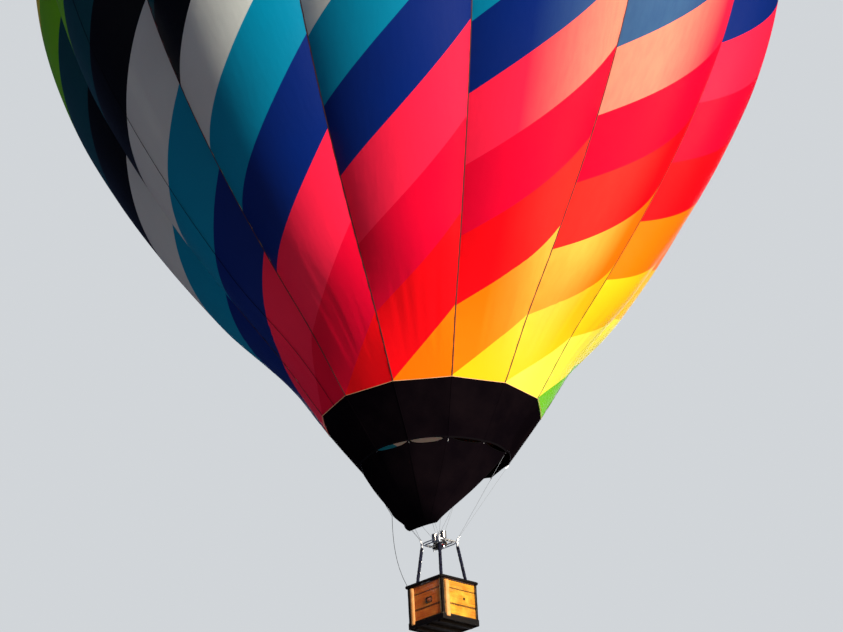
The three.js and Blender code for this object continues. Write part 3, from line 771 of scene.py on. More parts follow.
def scoop_point(s, t, out=0.0):
    """Points of the scoop: s from its right edge round to its left, t from its lower edge up."""
    s, t = np.broadcast_arrays(np.asarray(s, float), np.asarray(t, float))
    sector = np.minimum(SCOOP_GORES - 1, (s * SCOOP_GORES).astype(int))
    part = s * SCOOP_GORES - sector
    start = FIRST_SEAM + math.pi / 2 - GORE_TURN * sector
    end = start - GORE_TURN
    low_x = SCOOP_LOW_X[0] + (SCOOP_LOW_X[1] - SCOOP_LOW_X[0]) * s
    low_z = SCOOP_LOW_Z[0] + (SCOOP_LOW_Z[1] - SCOOP_LOW_Z[0]) * s
    x = low_x + (SCOOP_TOP_R * (np.cos(start) * (1 - part) + np.cos(end) * part) - low_x) * t
    y = SCOOP_LOW_Y + (SCOOP_TOP_R * (np.sin(start) * (1 - part) + np.sin(end) * part) - SCOOP_LOW_Y) * t
    across = np.abs(2 * part - 1)
    lobe_s = (s - SCOOP_LOBE["s"]) / SCOOP_LOBE["s_width"]
    lobe_t = (t - SCOOP_LOBE["t"]) / SCOOP_LOBE["t_width"]
    lobe = SCOOP_LOBE["out"] * np.exp(-lobe_s ** 2 - lobe_t ** 2)
    fullness = np.interp(s, np.linspace(0, 1, len(SCOOP_BULGE)), SCOOP_BULGE)
    bulge = fullness * np.sin(math.pi * np.clip(t, 0, 1) ** 0.7)
    seam_pull = 0.008 * (1 - across ** 2) * np.sin(math.pi * np.clip(t, 0, 1) ** 0.8)
    folds = 0.006 * np.sin(TAU * 3 * s + 7 * t) * np.sin(math.pi * t) * (1 - t)
    grown = 1 + (bulge + lobe + seam_pull + folds + out) / np.hypot(x, y)
    sag = np.array(SCOOP_SAG)[(2 - sector) % GORES]
    tied = (0.056 * across ** 4 - sag * (1 - across ** 2) + 0.045 * np.exp(-((s - 0.25) / 0.03) ** 2)
            + 0.02 * np.exp(-((s - 0.125) / 0.018) ** 2) + 0.015 * np.exp(-((s - 0.375) / 0.012) ** 2))
    bowed = 0.02 * (1 - (2 * s - 1) ** 2) * (1 - t) ** 8
    z = low_z + (SCOOP_TOP_Z - low_z) * t + tied * t ** 6 + bowed
    return np.stack([x * grown, y * grown, z], -1)


def scoop_cloth():
    per_gore, rows = 12, 44
    s = np.linspace(0, 1, SCOOP_GORES * per_gore + 1)
    shape = Shape()
    shape.grid(scoop_point(s, np.linspace(0, 1, rows + 1)[:, None], -0.005), 0)
    piece = shape.make("scoop_cloth", [HEAT_CLOTH], replaces=["scoop"], slot="black_fabric")
    trim = Shape()
    up = np.linspace(0, 1, 40)
    for seam in range(1, SCOOP_GORES):
        beside = seam / SCOOP_GORES + np.array([-1, 0, 1]) * 0.004
        trim.grid(scoop_point(beside, up[:, None], 0.001), 1)
    for edge in (0.0, 1.0):
        trim.tube(scoop_point(edge, up, -0.002), 0.008, 8)
        trim.tube(scoop_point(s, edge, -0.003), 0.008, 8, up=(0, 0, 1))
    trim.make("scoop_trim", [BLACK_TAPE, HEAT_CLOTH], slot="tape")


scoop_cloth()


# Crown: vent panel with its tapes, and the line from the crown

def vent_cloth():
    rings, segments, lines = 26, 144, 24
    r = np.linspace(0.04, VENT_R, rings)
    turn = np.arange(segments) * TAU / segments
    top = np.interp(-r, -TABLE_SEAM[UPPER, 0], TABLE_SEAM[UPPER, 1]) - 0.08
    pull = 0.012 * np.cos(lines * turn)[None, :] * (r[:, None] / VENT_R) ** 2
    pull = pull + 0.006 * np.sin(7 * turn + 3)[None, :] * np.sin(3 * r)[:, None]
    points = round_axis(r[:, None], turn, top[:, None] - np.abs(pull))
    shape = Shape()
    shape.grid(points, 0, points[..., :2], loop=True)
    piece = shape.make("vent_cloth", [BOTTLE_CLOTH], "vent", replaces=["parachute_vent"],
                       slot="envelope_fabric")
    trim = Shape()
    for line in range(lines):
        a = line * TAU / lines + 0.05
        side = np.array([-math.sin(a), math.cos(a), 0]) * 0.012
        path = round_axis(r, a, top + 0.002 - 0.012 * (r / VENT_R) ** 2)
        trim.grid(np.stack([path - side, path + side], 1)[1:])
    under, over = top[0] - 0.002, top[0] + 0.006
    trim.turned([(0.0, under), (0.09, under), (0.09, over), (0.0, over)])
    trim.make("vent_trim", [BLACK_TAPE], "vent", slot="tape")


vent_cloth()


def crown_line():
    """The line from the crown down the outside of one gore and over the scoop to the basket's rim."""
    length = np.linspace(TOP_LENGTH + 2.2, MOUTH_LENGTH + 0.03, 260)
    u = np.interp(length, [MOUTH_LENGTH, 8, 28], [0.1, 0.1, 0.0])
    line = skin(length, u, 10, np.interp(length, [-0.2, 0.2], [0.014, 0.024]))[0]
    over = scoop_point(np.linspace(0.556, 0.8, 40), np.linspace(0.93, 0.3, 40), 0.016)
    foot = np.array([-0.6, -0.6, 1.154])
    part = np.linspace(0, 1, 40)[1:, None]
    leave = over[-1] + [-0.02, -0.02, -0.9]
    reach = foot + [-0.14, -0.14, 0.42]
    drop = (over[-1] * (1 - part) ** 3 + 3 * leave * part * (1 - part) ** 2
            + 3 * reach * part ** 2 * (1 - part) + foot * part ** 3)
    shape = Shape()
    shape.tube(np.concatenate([line, over]), 0.006, 6)
    shape.make("crown_line", [BLACK_TAPE], slot="tape")
    tail = Shape()
    path = np.concatenate([over[-1:], drop])
    tail.tube(path, 0.006, 8)
    tail = tail.make("crown_line_tail", [BLACK_TAPE], slot="tape")
    turn = np.linspace(0, 2 * TAU, 41)
    outward = np.array([-1, -1, 0]) / math.sqrt(2)
    along = np.array([1, -1, 0]) / math.sqrt(2)
    hitch = (np.array([-0.5988, -0.5988, 1.113]) + 0.049 * np.cos(turn)[:, None] * outward
             + 0.044 * np.sin(turn)[:, None] * UPWARD + 0.006 * (turn / TAU - 1)[:, None] * along)
    knot = Shape()
    knot.tube(hitch, 0.006, 6, up=along)
    knot = knot.make("crown_line_hitch", [BLACK_TAPE], slot="tape")


crown_line()


# Rigging: wires with thimbles, and the carabiner of each frame corner

def rigging(letter, number):
    sx, sy = CORNERS[letter]
    shape = Shape()
    foot = np.array([sx * SOCKET_AT, sy * SOCKET_AT, WIRE_FOOT_Z])
    outward = unit(np.array([sx, sy, 0.0]))
    side = np.array([-outward[1], outward[0], 0])
    turn = np.arange(28) * TAU / 28
    for lean in (-0.5, 0.0, 0.5):
        over = unit(side + lean * outward)
        rise = unit(UPWARD + 0.35 * outward)
        centre = foot + rise * 0.03
        shift = outward * (lean * 0.02 + 0.004)
        link = centre + np.cos(turn)[:, None] * over * 0.02 + np.sin(turn)[:, None] * rise * 0.047 + shift
        shape.tube(link, 0.006, 8, loop=True, kind=2, up=np.cross(over, rise))
        gate = centre + over * 0.02 + shift
        shape.tube([gate - rise * 0.018, gate + rise * 0.018], 0.0085, 10, kind=2)
    shape.turned([(0, 2.2365), (0.022, 2.2365), (0.022, 2.24), (0.012, 2.246), (0, 2.246)],
                 (foot[0], foot[1], 0), 24, 1)
    for seam in range(3 * number, 3 * number + 3):
        angle = FIRST_SEAM + GORE_TURN * seam
        top = round_axis(WIRE_TOP_R, angle, WIRE_TOP_Z)
        start = foot + 0.022 * UPWARD
        way = unit(top - start)
        across = unit(np.cross(way, outward + 0.01))
        shape.tube([start + way * 0.03, top - way * 0.03], 0.0036, 8, kind=0)
        for place, turnback in ((start + way * 0.03, 1), (top - way * 0.03, -1)):
            shape.tube([place + way * 0.01 * turnback, place + way * 0.09 * turnback], 0.0065, 10, kind=1)
            oval = np.cos(turn)[:, None] * way * 0.017 + np.sin(turn)[:, None] * across * 0.012
            eye = place + oval - way * 0.01 * turnback
            shape.tube(eye, 0.003, 6, loop=True, kind=1, up=np.cross(way, across))
    shape.make(f"rigging_{letter}", [WIRE, STEEL, BRIGHT_STEEL], replaces=[f"flying_wires_{letter}"],
               slot="wire_metal")


for number, letter in enumerate(CORNERS):
    rigging(letter, number)


# Burner frame, gimbal ring and burners

def frame_tube():
    shape = Shape()
    shape.tube(square_path(0.34, 0.18, FRAME_Z, 0.05, 14), 0.016, 18, loop=True, up=(0, 0, 1))
    for sx, sy in CORNERS.values():
        at = np.array([sx * SOCKET_AT, sy * SOCKET_AT, 0])
        shape.turned([(0.0, 2.111), (0.027, 2.111), (0.03, 2.114), (0.03, 2.13), (0.0275, 2.133),
                      (0.0275, 2.165), (0.03, 2.17), (0.03, 2.228), (0.0285, 2.234), (0.024, 2.236),
                      (0.0, 2.236)], at, 36, 2)
        for height in (2.148, 2.2):
            for turn in (0.4, 2.5, 4.6):
                bolt = at + round_axis(0.028, turn, height)
                head = bolt + round_axis(0.005, turn, 0)
                shape.tube([bolt, head], 0.004, 6, kind=1)
    for sign in (1, -1):
        left, right = sorted((sign * 0.319, sign * 0.339))
        shape.block((left, -0.021, FRAME_Z - 0.021), (right, 0.021, FRAME_Z + 0.021), 0.004)
        shape.turned([(0.0092, sign * 0.3025), (0.0195, sign * 0.3025), (0.021, sign * 0.306),
                      (0.021, sign * 0.32), (0.0092, sign * 0.32), (0.0092, sign * 0.3025)],
                     (0, 0, FRAME_Z), 32, axis="x")
    shape.make("frame_tube", [STEEL, BLACK_METAL, BRIGHT_STEEL], replaces=["burner_frame"],
               slot="frame_metal")


frame_tube()


def gimbal_bars():
    shape = Shape()
    for sign in (1, -1):
        shape.block((-0.2835, sign * 0.2115 - 0.0105, FRAME_Z - 0.0155),
                    (0.2835, sign * 0.2115 + 0.0105, FRAME_Z + 0.0155), 0.003)
        shape.block((sign * 0.273 - 0.0105, -0.2, FRAME_Z - 0.0155),
                    (sign * 0.273 + 0.0105, 0.2, FRAME_Z + 0.0155), 0.003)
        shape.tube([(sign * 0.275, 0, FRAME_Z), (sign * 0.3165, 0, FRAME_Z)], 0.0078, 20, kind=1)
        shape.turned([(0, sign * 0.2225), (0.014, sign * 0.2225), (0.014, sign * 0.2275),
                      (0.006, sign * 0.229), (0, sign * 0.229)], (0, 0, FRAME_Z), 24, 1, axis="y")
        shape.turned([(0, sign * 0.2615), (0.015, sign * 0.2615), (0.015, sign * 0.258), (0, sign * 0.258)],
                     (0, 0, FRAME_Z), 24, 1, axis="x")
        for other in (1, -1):
            corner = np.array([sign * 0.26, other * 0.1995, FRAME_Z])
            half = np.array([0.016, 0.004, 0.013])
            shape.block(corner - half, corner + half, 0.002)
    shape.make("gimbal_bars", [STEEL, BLACK_METAL], "gimbal", replaces=["gimbal_ring"], slot="frame_metal")


gimbal_bars()


def burner_bodies():
    """Two valve bodies on a crossbar over a manifold, with valves, levers, gauges and hose fittings."""
    shape = Shape()
    shape.block((-0.1, -0.0245, 2.1875), (0.1, 0.0245, 2.2325), 0.006)
    shape.block((-0.044, -0.044, 2.045), (0.044, 0.044, 2.192), 0.008)
    shape.turned([(0, 2.0315), (0.02, 2.0315), (0.024, 2.035), (0.024, 2.046), (0, 2.046)], (0, 0, 0), 6, 1)
    for sign in (1, -1):
        x = sign * CAN_X
        shape.tube([(0, sign * 0.018, FRAME_Z), (0, sign * 0.2175, FRAME_Z)], 0.0078, 20, kind=1)
        shape.block((x - 0.055, -0.053, 2.101), (x + 0.055, 0.053, 2.213), 0.01)
        shape.turned([(0, 2.212), (0.045, 2.212), (0.05, 2.216), (0.05, 2.234), (0.036, 2.242),
                      (0.036, 2.266), (0.057, 2.272), (0.0605, 2.277), (0.0605, 2.2892), (0, 2.2892)],
                     (x, 0, 0), 40)
        for low in (2.243, 2.251, 2.259):
            shape.turned([(0.034, low), (0.046, low), (0.046, low + 0.004), (0.034, low + 0.004)],
                         (x, 0, 0), 32)
        shape.tube([(sign * 0.04, 0, 2.075), (sign * 0.1, 0, 2.075), (x, 0, 2.08), (x, 0, 2.103)],
                   0.011, 12, kind=1)
        hose_at = (x + sign * 0.028, -0.028, 0)
        shape.turned([(0, 2.078), (0.019, 2.078), (0.0205, 2.081), (0.0205, 2.101), (0, 2.101)],
                     hose_at, 6, 1)
        shape.turned([(0, 2.037), (0.011, 2.037), (0.014, 2.042), (0.014, 2.079), (0, 2.079)],
                     hose_at, 20, 1)
        lever_x = x + 0.03
        for side in (1, -1):
            shape.turned([(0, side * 0.05), (0.02, side * 0.05), (0.02, side * 0.06), (0.015, side * 0.064),
                          (0.015, side * 0.078), (0.011, side * 0.083), (0, side * 0.083)],
                         (lever_x, 0, 2.188), 24, 1 if side < 0 else 2, axis="y")
        dial_at = (x - 0.016, 0, 2.152)
        shape.turned([(0, -0.05), (0.009, -0.05), (0.009, -0.06), (0.0275, -0.062), (0.029, -0.065),
                      (0.029, -0.078), (0.026, -0.081), (0.026, -0.0785)], dial_at, 32, 1, axis="y")
        shape.turned([(0, -0.079), (0.026, -0.079)], dial_at, 32, 5, axis="y")
        shape.tube([(x - 0.016, -0.0796, 2.152), (x - 0.003, -0.0796, 2.162)], 0.0012, 5, kind=4)
        bends = ((0.052, 2.145), (0.08, 2.139), (0.088, 2.127), (0.06, 2.121), (-0.092, 2.121))
        shape.tube([(lever_x, y, z) for y, z in bends], 0.0045, 8, kind=1)
        shape.turned([(0, -0.095), (0.007, -0.095), (0.0085, -0.087), (0.0085, -0.03), (0.006, -0.023),
                      (0, -0.023)], (lever_x, 0, 2.121), 16, 3 if sign > 0 else 4, axis="y")
    bend = np.array([(x, 0.05, 2.15) for x in np.linspace(-0.1, 0.1, 15)])
    bend = bend + np.array([0, 0.035, -0.02]) * np.sin(np.linspace(0, math.pi, 15))[:, None]
    shape.tube(bend, 0.007, 10, kind=2)
    shape.make("burner_bodies", [BLACK_METAL, STEEL, BRASS, RED_KNOB, BLACK_GRIP, DIAL_FACE], "burner",
               replaces=["burner_block"], slot="block_metal")


burner_bodies()


def burner_can(number, x):
    """Ribbed stainless can round a wound vaporising coil."""
    shape = Shape()
    turn = np.arange(96) * TAU / 96
    heights = np.array([2.2905, 2.293, 2.3, 2.312, 2.33, 2.352, 2.374, 2.396, 2.418, 2.44, 2.456, 2.468,
                        2.475, 2.483, 2.487, 2.4895])
    ribs = np.interp(heights, [2.3, 2.318, 2.454, 2.466], [0, 1, 1, 0])
    radius = np.interp(heights, [2.2905, 2.293, 2.3, 2.467, 2.475, 2.485, 2.4895],
                       [0.071, 0.075, 0.0742, 0.0742, 0.0748, 0.0758, 0.0745])
    around = radius[:, None] - 0.002 * ribs[:, None] * (0.5 - 0.5 * np.cos(16 * turn)) ** 2
    rings = np.concatenate([around, (around - 0.0016)[::-1]])
    levels = np.concatenate([heights, heights[::-1]])
    shape.grid(round_axis(rings, turn, levels[:, None], x), 0, loop=True)
    shape.turned([(0, 2.2925), (0.0695, 2.2925), (0.0695, 2.299), (0, 2.299)], (x, 0, 0), 40, 1)
    wound = np.linspace(0, 5 * TAU, 5 * 20)
    coil = round_axis(0.056, wound, 2.336 + 0.13 * wound / wound[-1], x)
    shape.tube(coil, 0.0062, 8, kind=1, up=(0, 0, 1))
    for spoke in range(6):
        ends = round_axis([0.008, 0.044], spoke * TAU / 6, [2.322, 2.327], x)
        shape.tube(ends, 0.003, 6, kind=1)
    shape.tube([(x, 0, 2.299), (x, 0, 2.332)], 0.01, 12, kind=1)
    for height in (2.308, 2.466):
        shape.tube(round_axis(0.0748, turn, height, x), 0.0018, 6, loop=True, up=(0, 0, 1))
    shape.make(f"burner_can_shell_{number}", [STAINLESS, COIL], "burner", replaces=[f"burner_can_{number}"],
               slot="burner_metal")


burner_can(1, CAN_X)
burner_can(2, -CAN_X)


# Padded uprights

PAD_LOW, PAD_HIGH = 1.1186, 2.1094
STRAPS = (0.07, 0.36, 0.64, 0.93)
STRAP_LEVELS = [PAD_LOW + (PAD_HIGH - PAD_LOW) * strap for strap in STRAPS]


def swelled(points, faces, held, voxel=0.007, pressure=4.0, most=0.005):
    """Swells a closed form as padded cloth; held says which of its points stay. Gives points and faces."""
    scene = bpy.context.scene
    mesh = bpy.data.meshes.new("padding")
    mesh.from_pydata(points.tolist(), [], faces)
    body = bpy.data.objects.new("padding", mesh)
    scene.collection.objects.link(body)

    def as_shown():
        return bpy.data.meshes.new_from_object(body.evaluated_get(bpy.context.evaluated_depsgraph_get()))

    even = body.modifiers.new("even", "REMESH")
    even.mode = "VOXEL"
    even.voxel_size = voxel
    body.data = as_shown()
    body.modifiers.clear()
    start = np.array([v.co[:] for v in body.data.vertices])
    pins = body.vertex_groups.new(name="held")
    pins.add([i for i, place in enumerate(start) if held(place)], 1.0, "REPLACE")
    cloth = body.modifiers.new("swell", "CLOTH")
    cloth.settings.quality = 6
    cloth.settings.use_pressure = True
    cloth.settings.uniform_pressure_force = pressure
    cloth.settings.effector_weights.gravity = 0
    cloth.settings.vertex_group_mass = "held"
    cloth.settings.shrink_min = -0.04
    cloth.point_cache.frame_start = 1
    cloth.point_cache.frame_end = 20
    for number in range(1, 21):
        scene.frame_set(number)
    end = np.array([v.co[:] for v in as_shown().vertices])
    scene.frame_set(1)
    body.modifiers.clear()
    move = end - start
    size = np.linalg.norm(move, axis=1, keepdims=True)
    move = move * np.minimum(1, most / np.maximum(size, 1e-9))
    body.data.vertices.foreach_set("co", (start + move).astype(np.float32).ravel())
    body.data.update()
    body.modifiers.new("smooth", "SUBSURF").levels = 1
    final = as_shown()
    bpy.data.objects.remove(body)
    return np.array([v.co[:] for v in final.vertices]), [tuple(f.vertices) for f in final.polygons]


def pad_form():
    """Padded cover of one upright, straight up at the origin, drawn in under its straps."""
    rows, sides = 80, 28
    up = np.linspace(0, 1, rows)[:, None]
    turn = np.arange(sides) * TAU / sides
    ring = 0.0392 * np.minimum(1, 0.8 + 6 * np.minimum(up, 1 - up)) ** 0.5 + 0 * turn
    for strap in STRAPS:
        ring = ring - 0.004 * np.exp(-((up - strap) / 0.014) ** 2)
    ring = ring + 0.0011 * np.sin(72 * up + 3 * np.cos(turn)) + 0.001 * np.sin(5 * turn + 40 * up)
    points = round_axis(ring, turn, PAD_LOW + (PAD_HIGH - PAD_LOW) * up)
    shape = Shape()
    shape.grid(points, 0, loop=True)
    last = (rows - 1) * sides
    points = np.concatenate([points.reshape(-1, 3), [[0, 0, PAD_LOW], [0, 0, PAD_HIGH]]])
    faces = shape.faces
    for side in range(sides):
        beside = (side + 1) % sides
        faces.append((beside, side, rows * sides))
        faces.append((last + side, last + beside, rows * sides + 1))

    def held(place):
        at_end = place[2] < PAD_LOW + 0.012 or place[2] > PAD_HIGH - 0.012
        return at_end or any(abs(place[2] - level) < 0.011 for level in STRAP_LEVELS)

    return swelled(points, faces, held)


def along_upright(points, sx, sy):
    """Moves points from a straight tube at the origin onto the leaning upright of one corner."""
    points = np.array(points, float)
    lean = (SOCKET_AT - ROD_FOOT) * (points[..., 2] - PAD_LOW) / (PAD_HIGH - PAD_LOW)
    points[..., 0] += sx * (ROD_FOOT + lean)
    points[..., 1] += sy * (ROD_FOOT + lean)
    return points


def upright_pads():
    points, faces = pad_form()
    turn = np.arange(36) * TAU / 36
    for letter, (sx, sy) in CORNERS.items():
        shape = Shape()
        shape.add(along_upright(points, sx, sy), faces)
        pad = shape.make(f"upright_pad_{letter}", [NAVY_PADDING], replaces=[f"upright_{letter}"],
                         slot="upright_cover")
        trim = Shape()
        facing = math.atan2(-sy, -sx)
        inward = (math.cos(facing), math.sin(facing), 0)
        profile = [(0.037, -0.0125), (0.0395, -0.012), (0.0405, 0.0), (0.0395, 0.012), (0.037, 0.0125)]
        for level in STRAP_LEVELS:
            rings = [round_axis(r, turn, level + h) for r, h in profile]
            trim.grid(along_upright(rings, sx, sy), 0, loop=True)
            buckle = [round_axis(0.0415, facing + a, level + h)
                      for a, h in ((-0.3, -0.015), (0.3, -0.015), (0.3, 0.015), (-0.3, 0.015))]
            trim.tube(along_upright(buckle, sx, sy), 0.0016, 6, loop=True, kind=1, up=inward)
        trim.make(f"upright_straps_{letter}", [BLACK_TAPE, STEEL], slot="tape")


upright_pads()


# Basket rim: padded leather roll with lacing, and the plate in each corner

def rim_roll():
    path = square_path(half=0.612, corner=0.045, z=1.113, step=0.02)
    way, out, along = run_of(path)
    turn = np.arange(24) * TAU / 24
    pinch = 1 - 0.05 * np.exp(-((along % 0.06 - 0.03) / 0.008) ** 2)[:, None]
    swell = pinch + 0.02 * np.sin(along[:, None] * 37 + 2 * turn) * np.sin(along[:, None] * 11)
    across, over = 0.042 * swell * np.cos(turn), 0.037 * swell * np.sin(turn)
    points = path[:, None] + across[..., None] * out[:, None] + over[..., None] * UPWARD
    shape = Shape()
    shape.grid(np.concatenate([points, points[:1]]), 0, loop=True)
    roll = shape.make("rim_roll", [DARK_LEATHER], replaces=["basket_rim"], slot="rim_leather", weld=1e-5)

    thong = Shape()
    for centre in np.arange(0.03, along[-1], 0.06):
        index = int(np.argmin(np.abs(along - centre)))
        oval = 0.0425 * np.cos(turn)[:, None] * out[index] + 0.0375 * np.sin(turn)[:, None] * UPWARD
        loop = path[index] + oval + way[index] * 0.008 * np.sin(turn + 1)[:, None]
        thong.tube(loop, 0.003, 5, loop=True, up=way[index])
    thong.make("rim_lacing", [CORNER_LEATHER], slot="rim_leather")


rim_roll()


def corner_plates():
    shape = Shape()
    reach, near = 0.6035, 0.1465
    middle = np.array([0.46, 0.46])
    for sx, sy in CORNERS.values():
        outline = [(reach - 0.004, near), (reach, near + 0.01), (reach, reach - 0.03),
                   (reach - 0.03, reach), (near + 0.01, reach), (near, reach - 0.004)]
        if sx * sy < 0:
            outline.reverse()
        rings = []
        for inset, z in ((0.004, 1.088), (0.0, 1.091), (0.0, 1.115), (0.004, 1.118)):
            ring = np.array(outline)
            ring = ring + (middle - ring) * inset / 0.2
            rings.append(np.concatenate([ring * [sx, sy], np.full((len(ring), 1), z)], 1))
        shape.grid(np.stack(rings), 0, loop=True)
        shape.add(np.concatenate([rings[0], rings[-1]]), [tuple(reversed(range(6))), tuple(range(6, 12))])
        for bolt in ((0.51, 0.51), (0.47, 0.36), (0.36, 0.47)):
            shape.turned([(0, 1.118), (0.009, 1.118), (0.009, 1.1225), (0.007, 1.124), (0, 1.124)],
                         (sx * bolt[0], sy * bolt[1], 0), 6, 1)
        shape.turned([(0.041, 1.118), (0.05, 1.118), (0.05, 1.1195), (0.041, 1.1195)],
                     (sx * ROD_FOOT, sy * ROD_FOOT, 0), 32, 1)
    shape.make("corner_plates", [PAINTED_SHADE_PLY, STEEL], replaces=["basket_rim"], slot="rim_leather", sharp=30)


corner_plates()


# Wicker walls: stakes with cane woven round them, darker bands, and the step hole

STEP_HOLE = (0.02, 0.22, 0.555, 0.685)
DARK_BANDS = (0.46, 0.86)
WALL_TURNS = {"front": 0, "right": 90, "back": 180, "left": 270}


def on_wall(points, side):
    """Turns points of the front wall onto another wall."""
    a = math.radians(WALL_TURNS[side])
    points = np.asarray(points, float)
    turned = points.copy()
    turned[..., 0] = points[..., 0] * math.cos(a) - points[..., 1] * math.sin(a)
    turned[..., 1] = points[..., 0] * math.sin(a) + points[..., 1] * math.cos(a)
    return turned


def woven_wall(side, hole=None):
    chance = random.Random(WALL_TURNS[side] + 5)
    low, high, end = 0.0945, 1.0735, 0.5345
    middle = -0.5825
    stakes = 26
    spacing = 2 * end / (stakes - 1)
    rows = 68
    rise = (high - low) / rows
    shape = Shape()
    for number in range(stakes):
        x = -end + spacing * number
        pieces = [(low, high)]
        if hole and hole[0] - 0.01 < x < hole[1] + 0.01:
            pieces = [(low, hole[2]), (hole[3], high)]
        for start, stop in pieces:
            shape.tube(on_wall([(x, middle, start), (x, middle, stop)], side), 0.0075, 6, kind=0)
    for row in range(rows):
        z = low + rise * (row + 0.5)
        dark = any(abs(z - band) < 0.017 for band in DARK_BANDS) or row < 2 or row >= rows - 2
        spans = [(-end, end)]
        if hole and hole[2] - 0.006 < z < hole[3] + 0.006:
            spans = [(-end, hole[0]), (hole[1], end)]
        size = chance.uniform(0.92, 1.05)
        lift = chance.uniform(-0.0012, 0.0012)
        for start, stop in spans:
            first, last = round((start + end) / spacing * 2), round((stop + end) / spacing * 2)
            steps = np.arange(first, last + 1)
            x = -end + spacing * steps / 2
            swing = 0.0115 * np.cos(math.pi * (steps / 2 + row)) * (1.15 if dark else 1)
            sway = 0.0006 * np.sin(7 * x + row * 2.1)
            path = np.stack([x, middle + swing, z + lift + sway], -1)
            shape.tube(on_wall(path, side), 0.0084 * size, 6, kind=1 if dark else 0, up=(0, 0, 1), flat=0.88)
    for depth in (-0.0155, 0.0155):
        border = [(-end, middle + depth, high - 0.0051), (end, middle + depth, high - 0.0051)]
        shape.tube(on_wall(border, side), 0.0072, 8, kind=1)
    # The front and left walls take the redder copy of the wicker as painted shade.
    willow = PAINTED_SHADE_WICKER if side in ("front", "left") else WICKER
    shape.make(f"weave_{side}", [willow, DARK_WICKER], replaces=[f"wall_{side}"], slot="wicker",
               weld=0, sharp=60)


for side in WALL_TURNS:
    woven_wall(side, STEP_HOLE if side == "front" else None)


def step_hole_binding():
    shape = Shape()
    x0, x1, z0, z1 = STEP_HOLE
    corner = 0.028
    path = []
    for quarter, (cx, cz) in enumerate(((x1 - corner, z1 - corner), (x0 + corner, z1 - corner),
                                        (x0 + corner, z0 + corner), (x1 - corner, z0 + corner))):
        for i in range(7):
            a = math.pi / 2 * (quarter + i / 6)
            path.append((cx + corner * math.cos(a), -0.583, cz + corner * math.sin(a)))
    path = np.array(path)
    shape.tube(path, 0.0135, 12, loop=True, up=(0, 1, 0), flat=1.95)
    for index in range(len(path)):
        a, b = path[index - 1], path[index]
        count = max(1, int(np.linalg.norm(b - a) / 0.014))
        for part in np.linspace(0, 1, count, endpoint=False):
            here = a + (b - a) * part
            shape.tube([here + [-0.004, -0.0262, 0], here + [0.004, -0.0262, 0]], 0.0011, 5, kind=1)
    shape.make("step_hole_binding", [DARK_LEATHER, THREAD], slot="corner_leather")


step_hole_binding()


# Leather: corners with flaps over the wicker, pale hide strips, an eyelet and the skirt

def stitch_row(shape, start, end, kind, out, length=0.011, gap=0.019):
    start, end = np.asarray(start, float), np.asarray(end, float)
    way = unit(end - start)
    count = int(np.linalg.norm(end - start) / gap)
    for number in range(count):
        a = start + way * (gap * (number + 0.3)) + np.asarray(out) * 0.0006
        mid = a + way * length / 2 + np.asarray(out) * 0.0012
        shape.tube([a, mid, a + way * length], 0.0012, 5, kind=kind)


def leather_corner(letter):
    sx, sy = CORNERS[letter]
    face, flap, inside, bend = 0.6085, 0.52, 0.537, 0.03
    outline = [(flap, face - 0.004), (flap + 0.002, face - 0.0005), (flap + 0.006, face)]
    outline += [(flap + (face - bend - flap) * i / 8, face) for i in range(1, 8)]
    outline += [(face - bend + bend * math.sin(a), face - bend + bend * math.cos(a))
                for a in np.linspace(0, math.pi / 2, 11)]
    outline += [(y, x) for x, y in reversed(outline[:10])]
    outline += [(face - 0.0045, 0.539), (inside + 0.008, 0.538), (inside, inside + 0.004), (inside, inside),
                (inside + 0.004, inside), (0.538, inside + 0.008), (0.539, face - 0.0045)]
    outline = np.array(outline) * [sx, sy]
    if sx * sy < 0:
        outline = outline[::-1]
    heights = np.linspace(0.0945, 1.0755, 60)
    rows = []
    for z in heights:
        swell = 1 + 0.0016 * math.sin(19 * z + sx) * math.sin(7 * z + sy)
        ring = outline * swell
        rows.append(np.concatenate([ring, np.full((len(ring), 1), z)], 1))
    shape = Shape()
    shape.grid(np.stack(rows)[:, ::-1], 0, loop=True)
    for along, row in ((flap + 0.009, 0), (0.548, 0), (flap + 0.009, 1), (0.548, 1)):
        at = (sx * along, sy * (face + 0.0006)) if row == 0 else (sx * (face + 0.0006), sy * along)
        out = (0, sy, 0) if row == 0 else (sx, 0, 0)
        stitch_row(shape, (*at, 0.2), (*at, 1.06), 1, out)
    shape.make(f"leather_corner_{letter}", [CORNER_LEATHER, THREAD], replaces=[f"corner_{letter}"],
               slot="corner_leather")


for letter in CORNERS:
    leather_corner(letter)


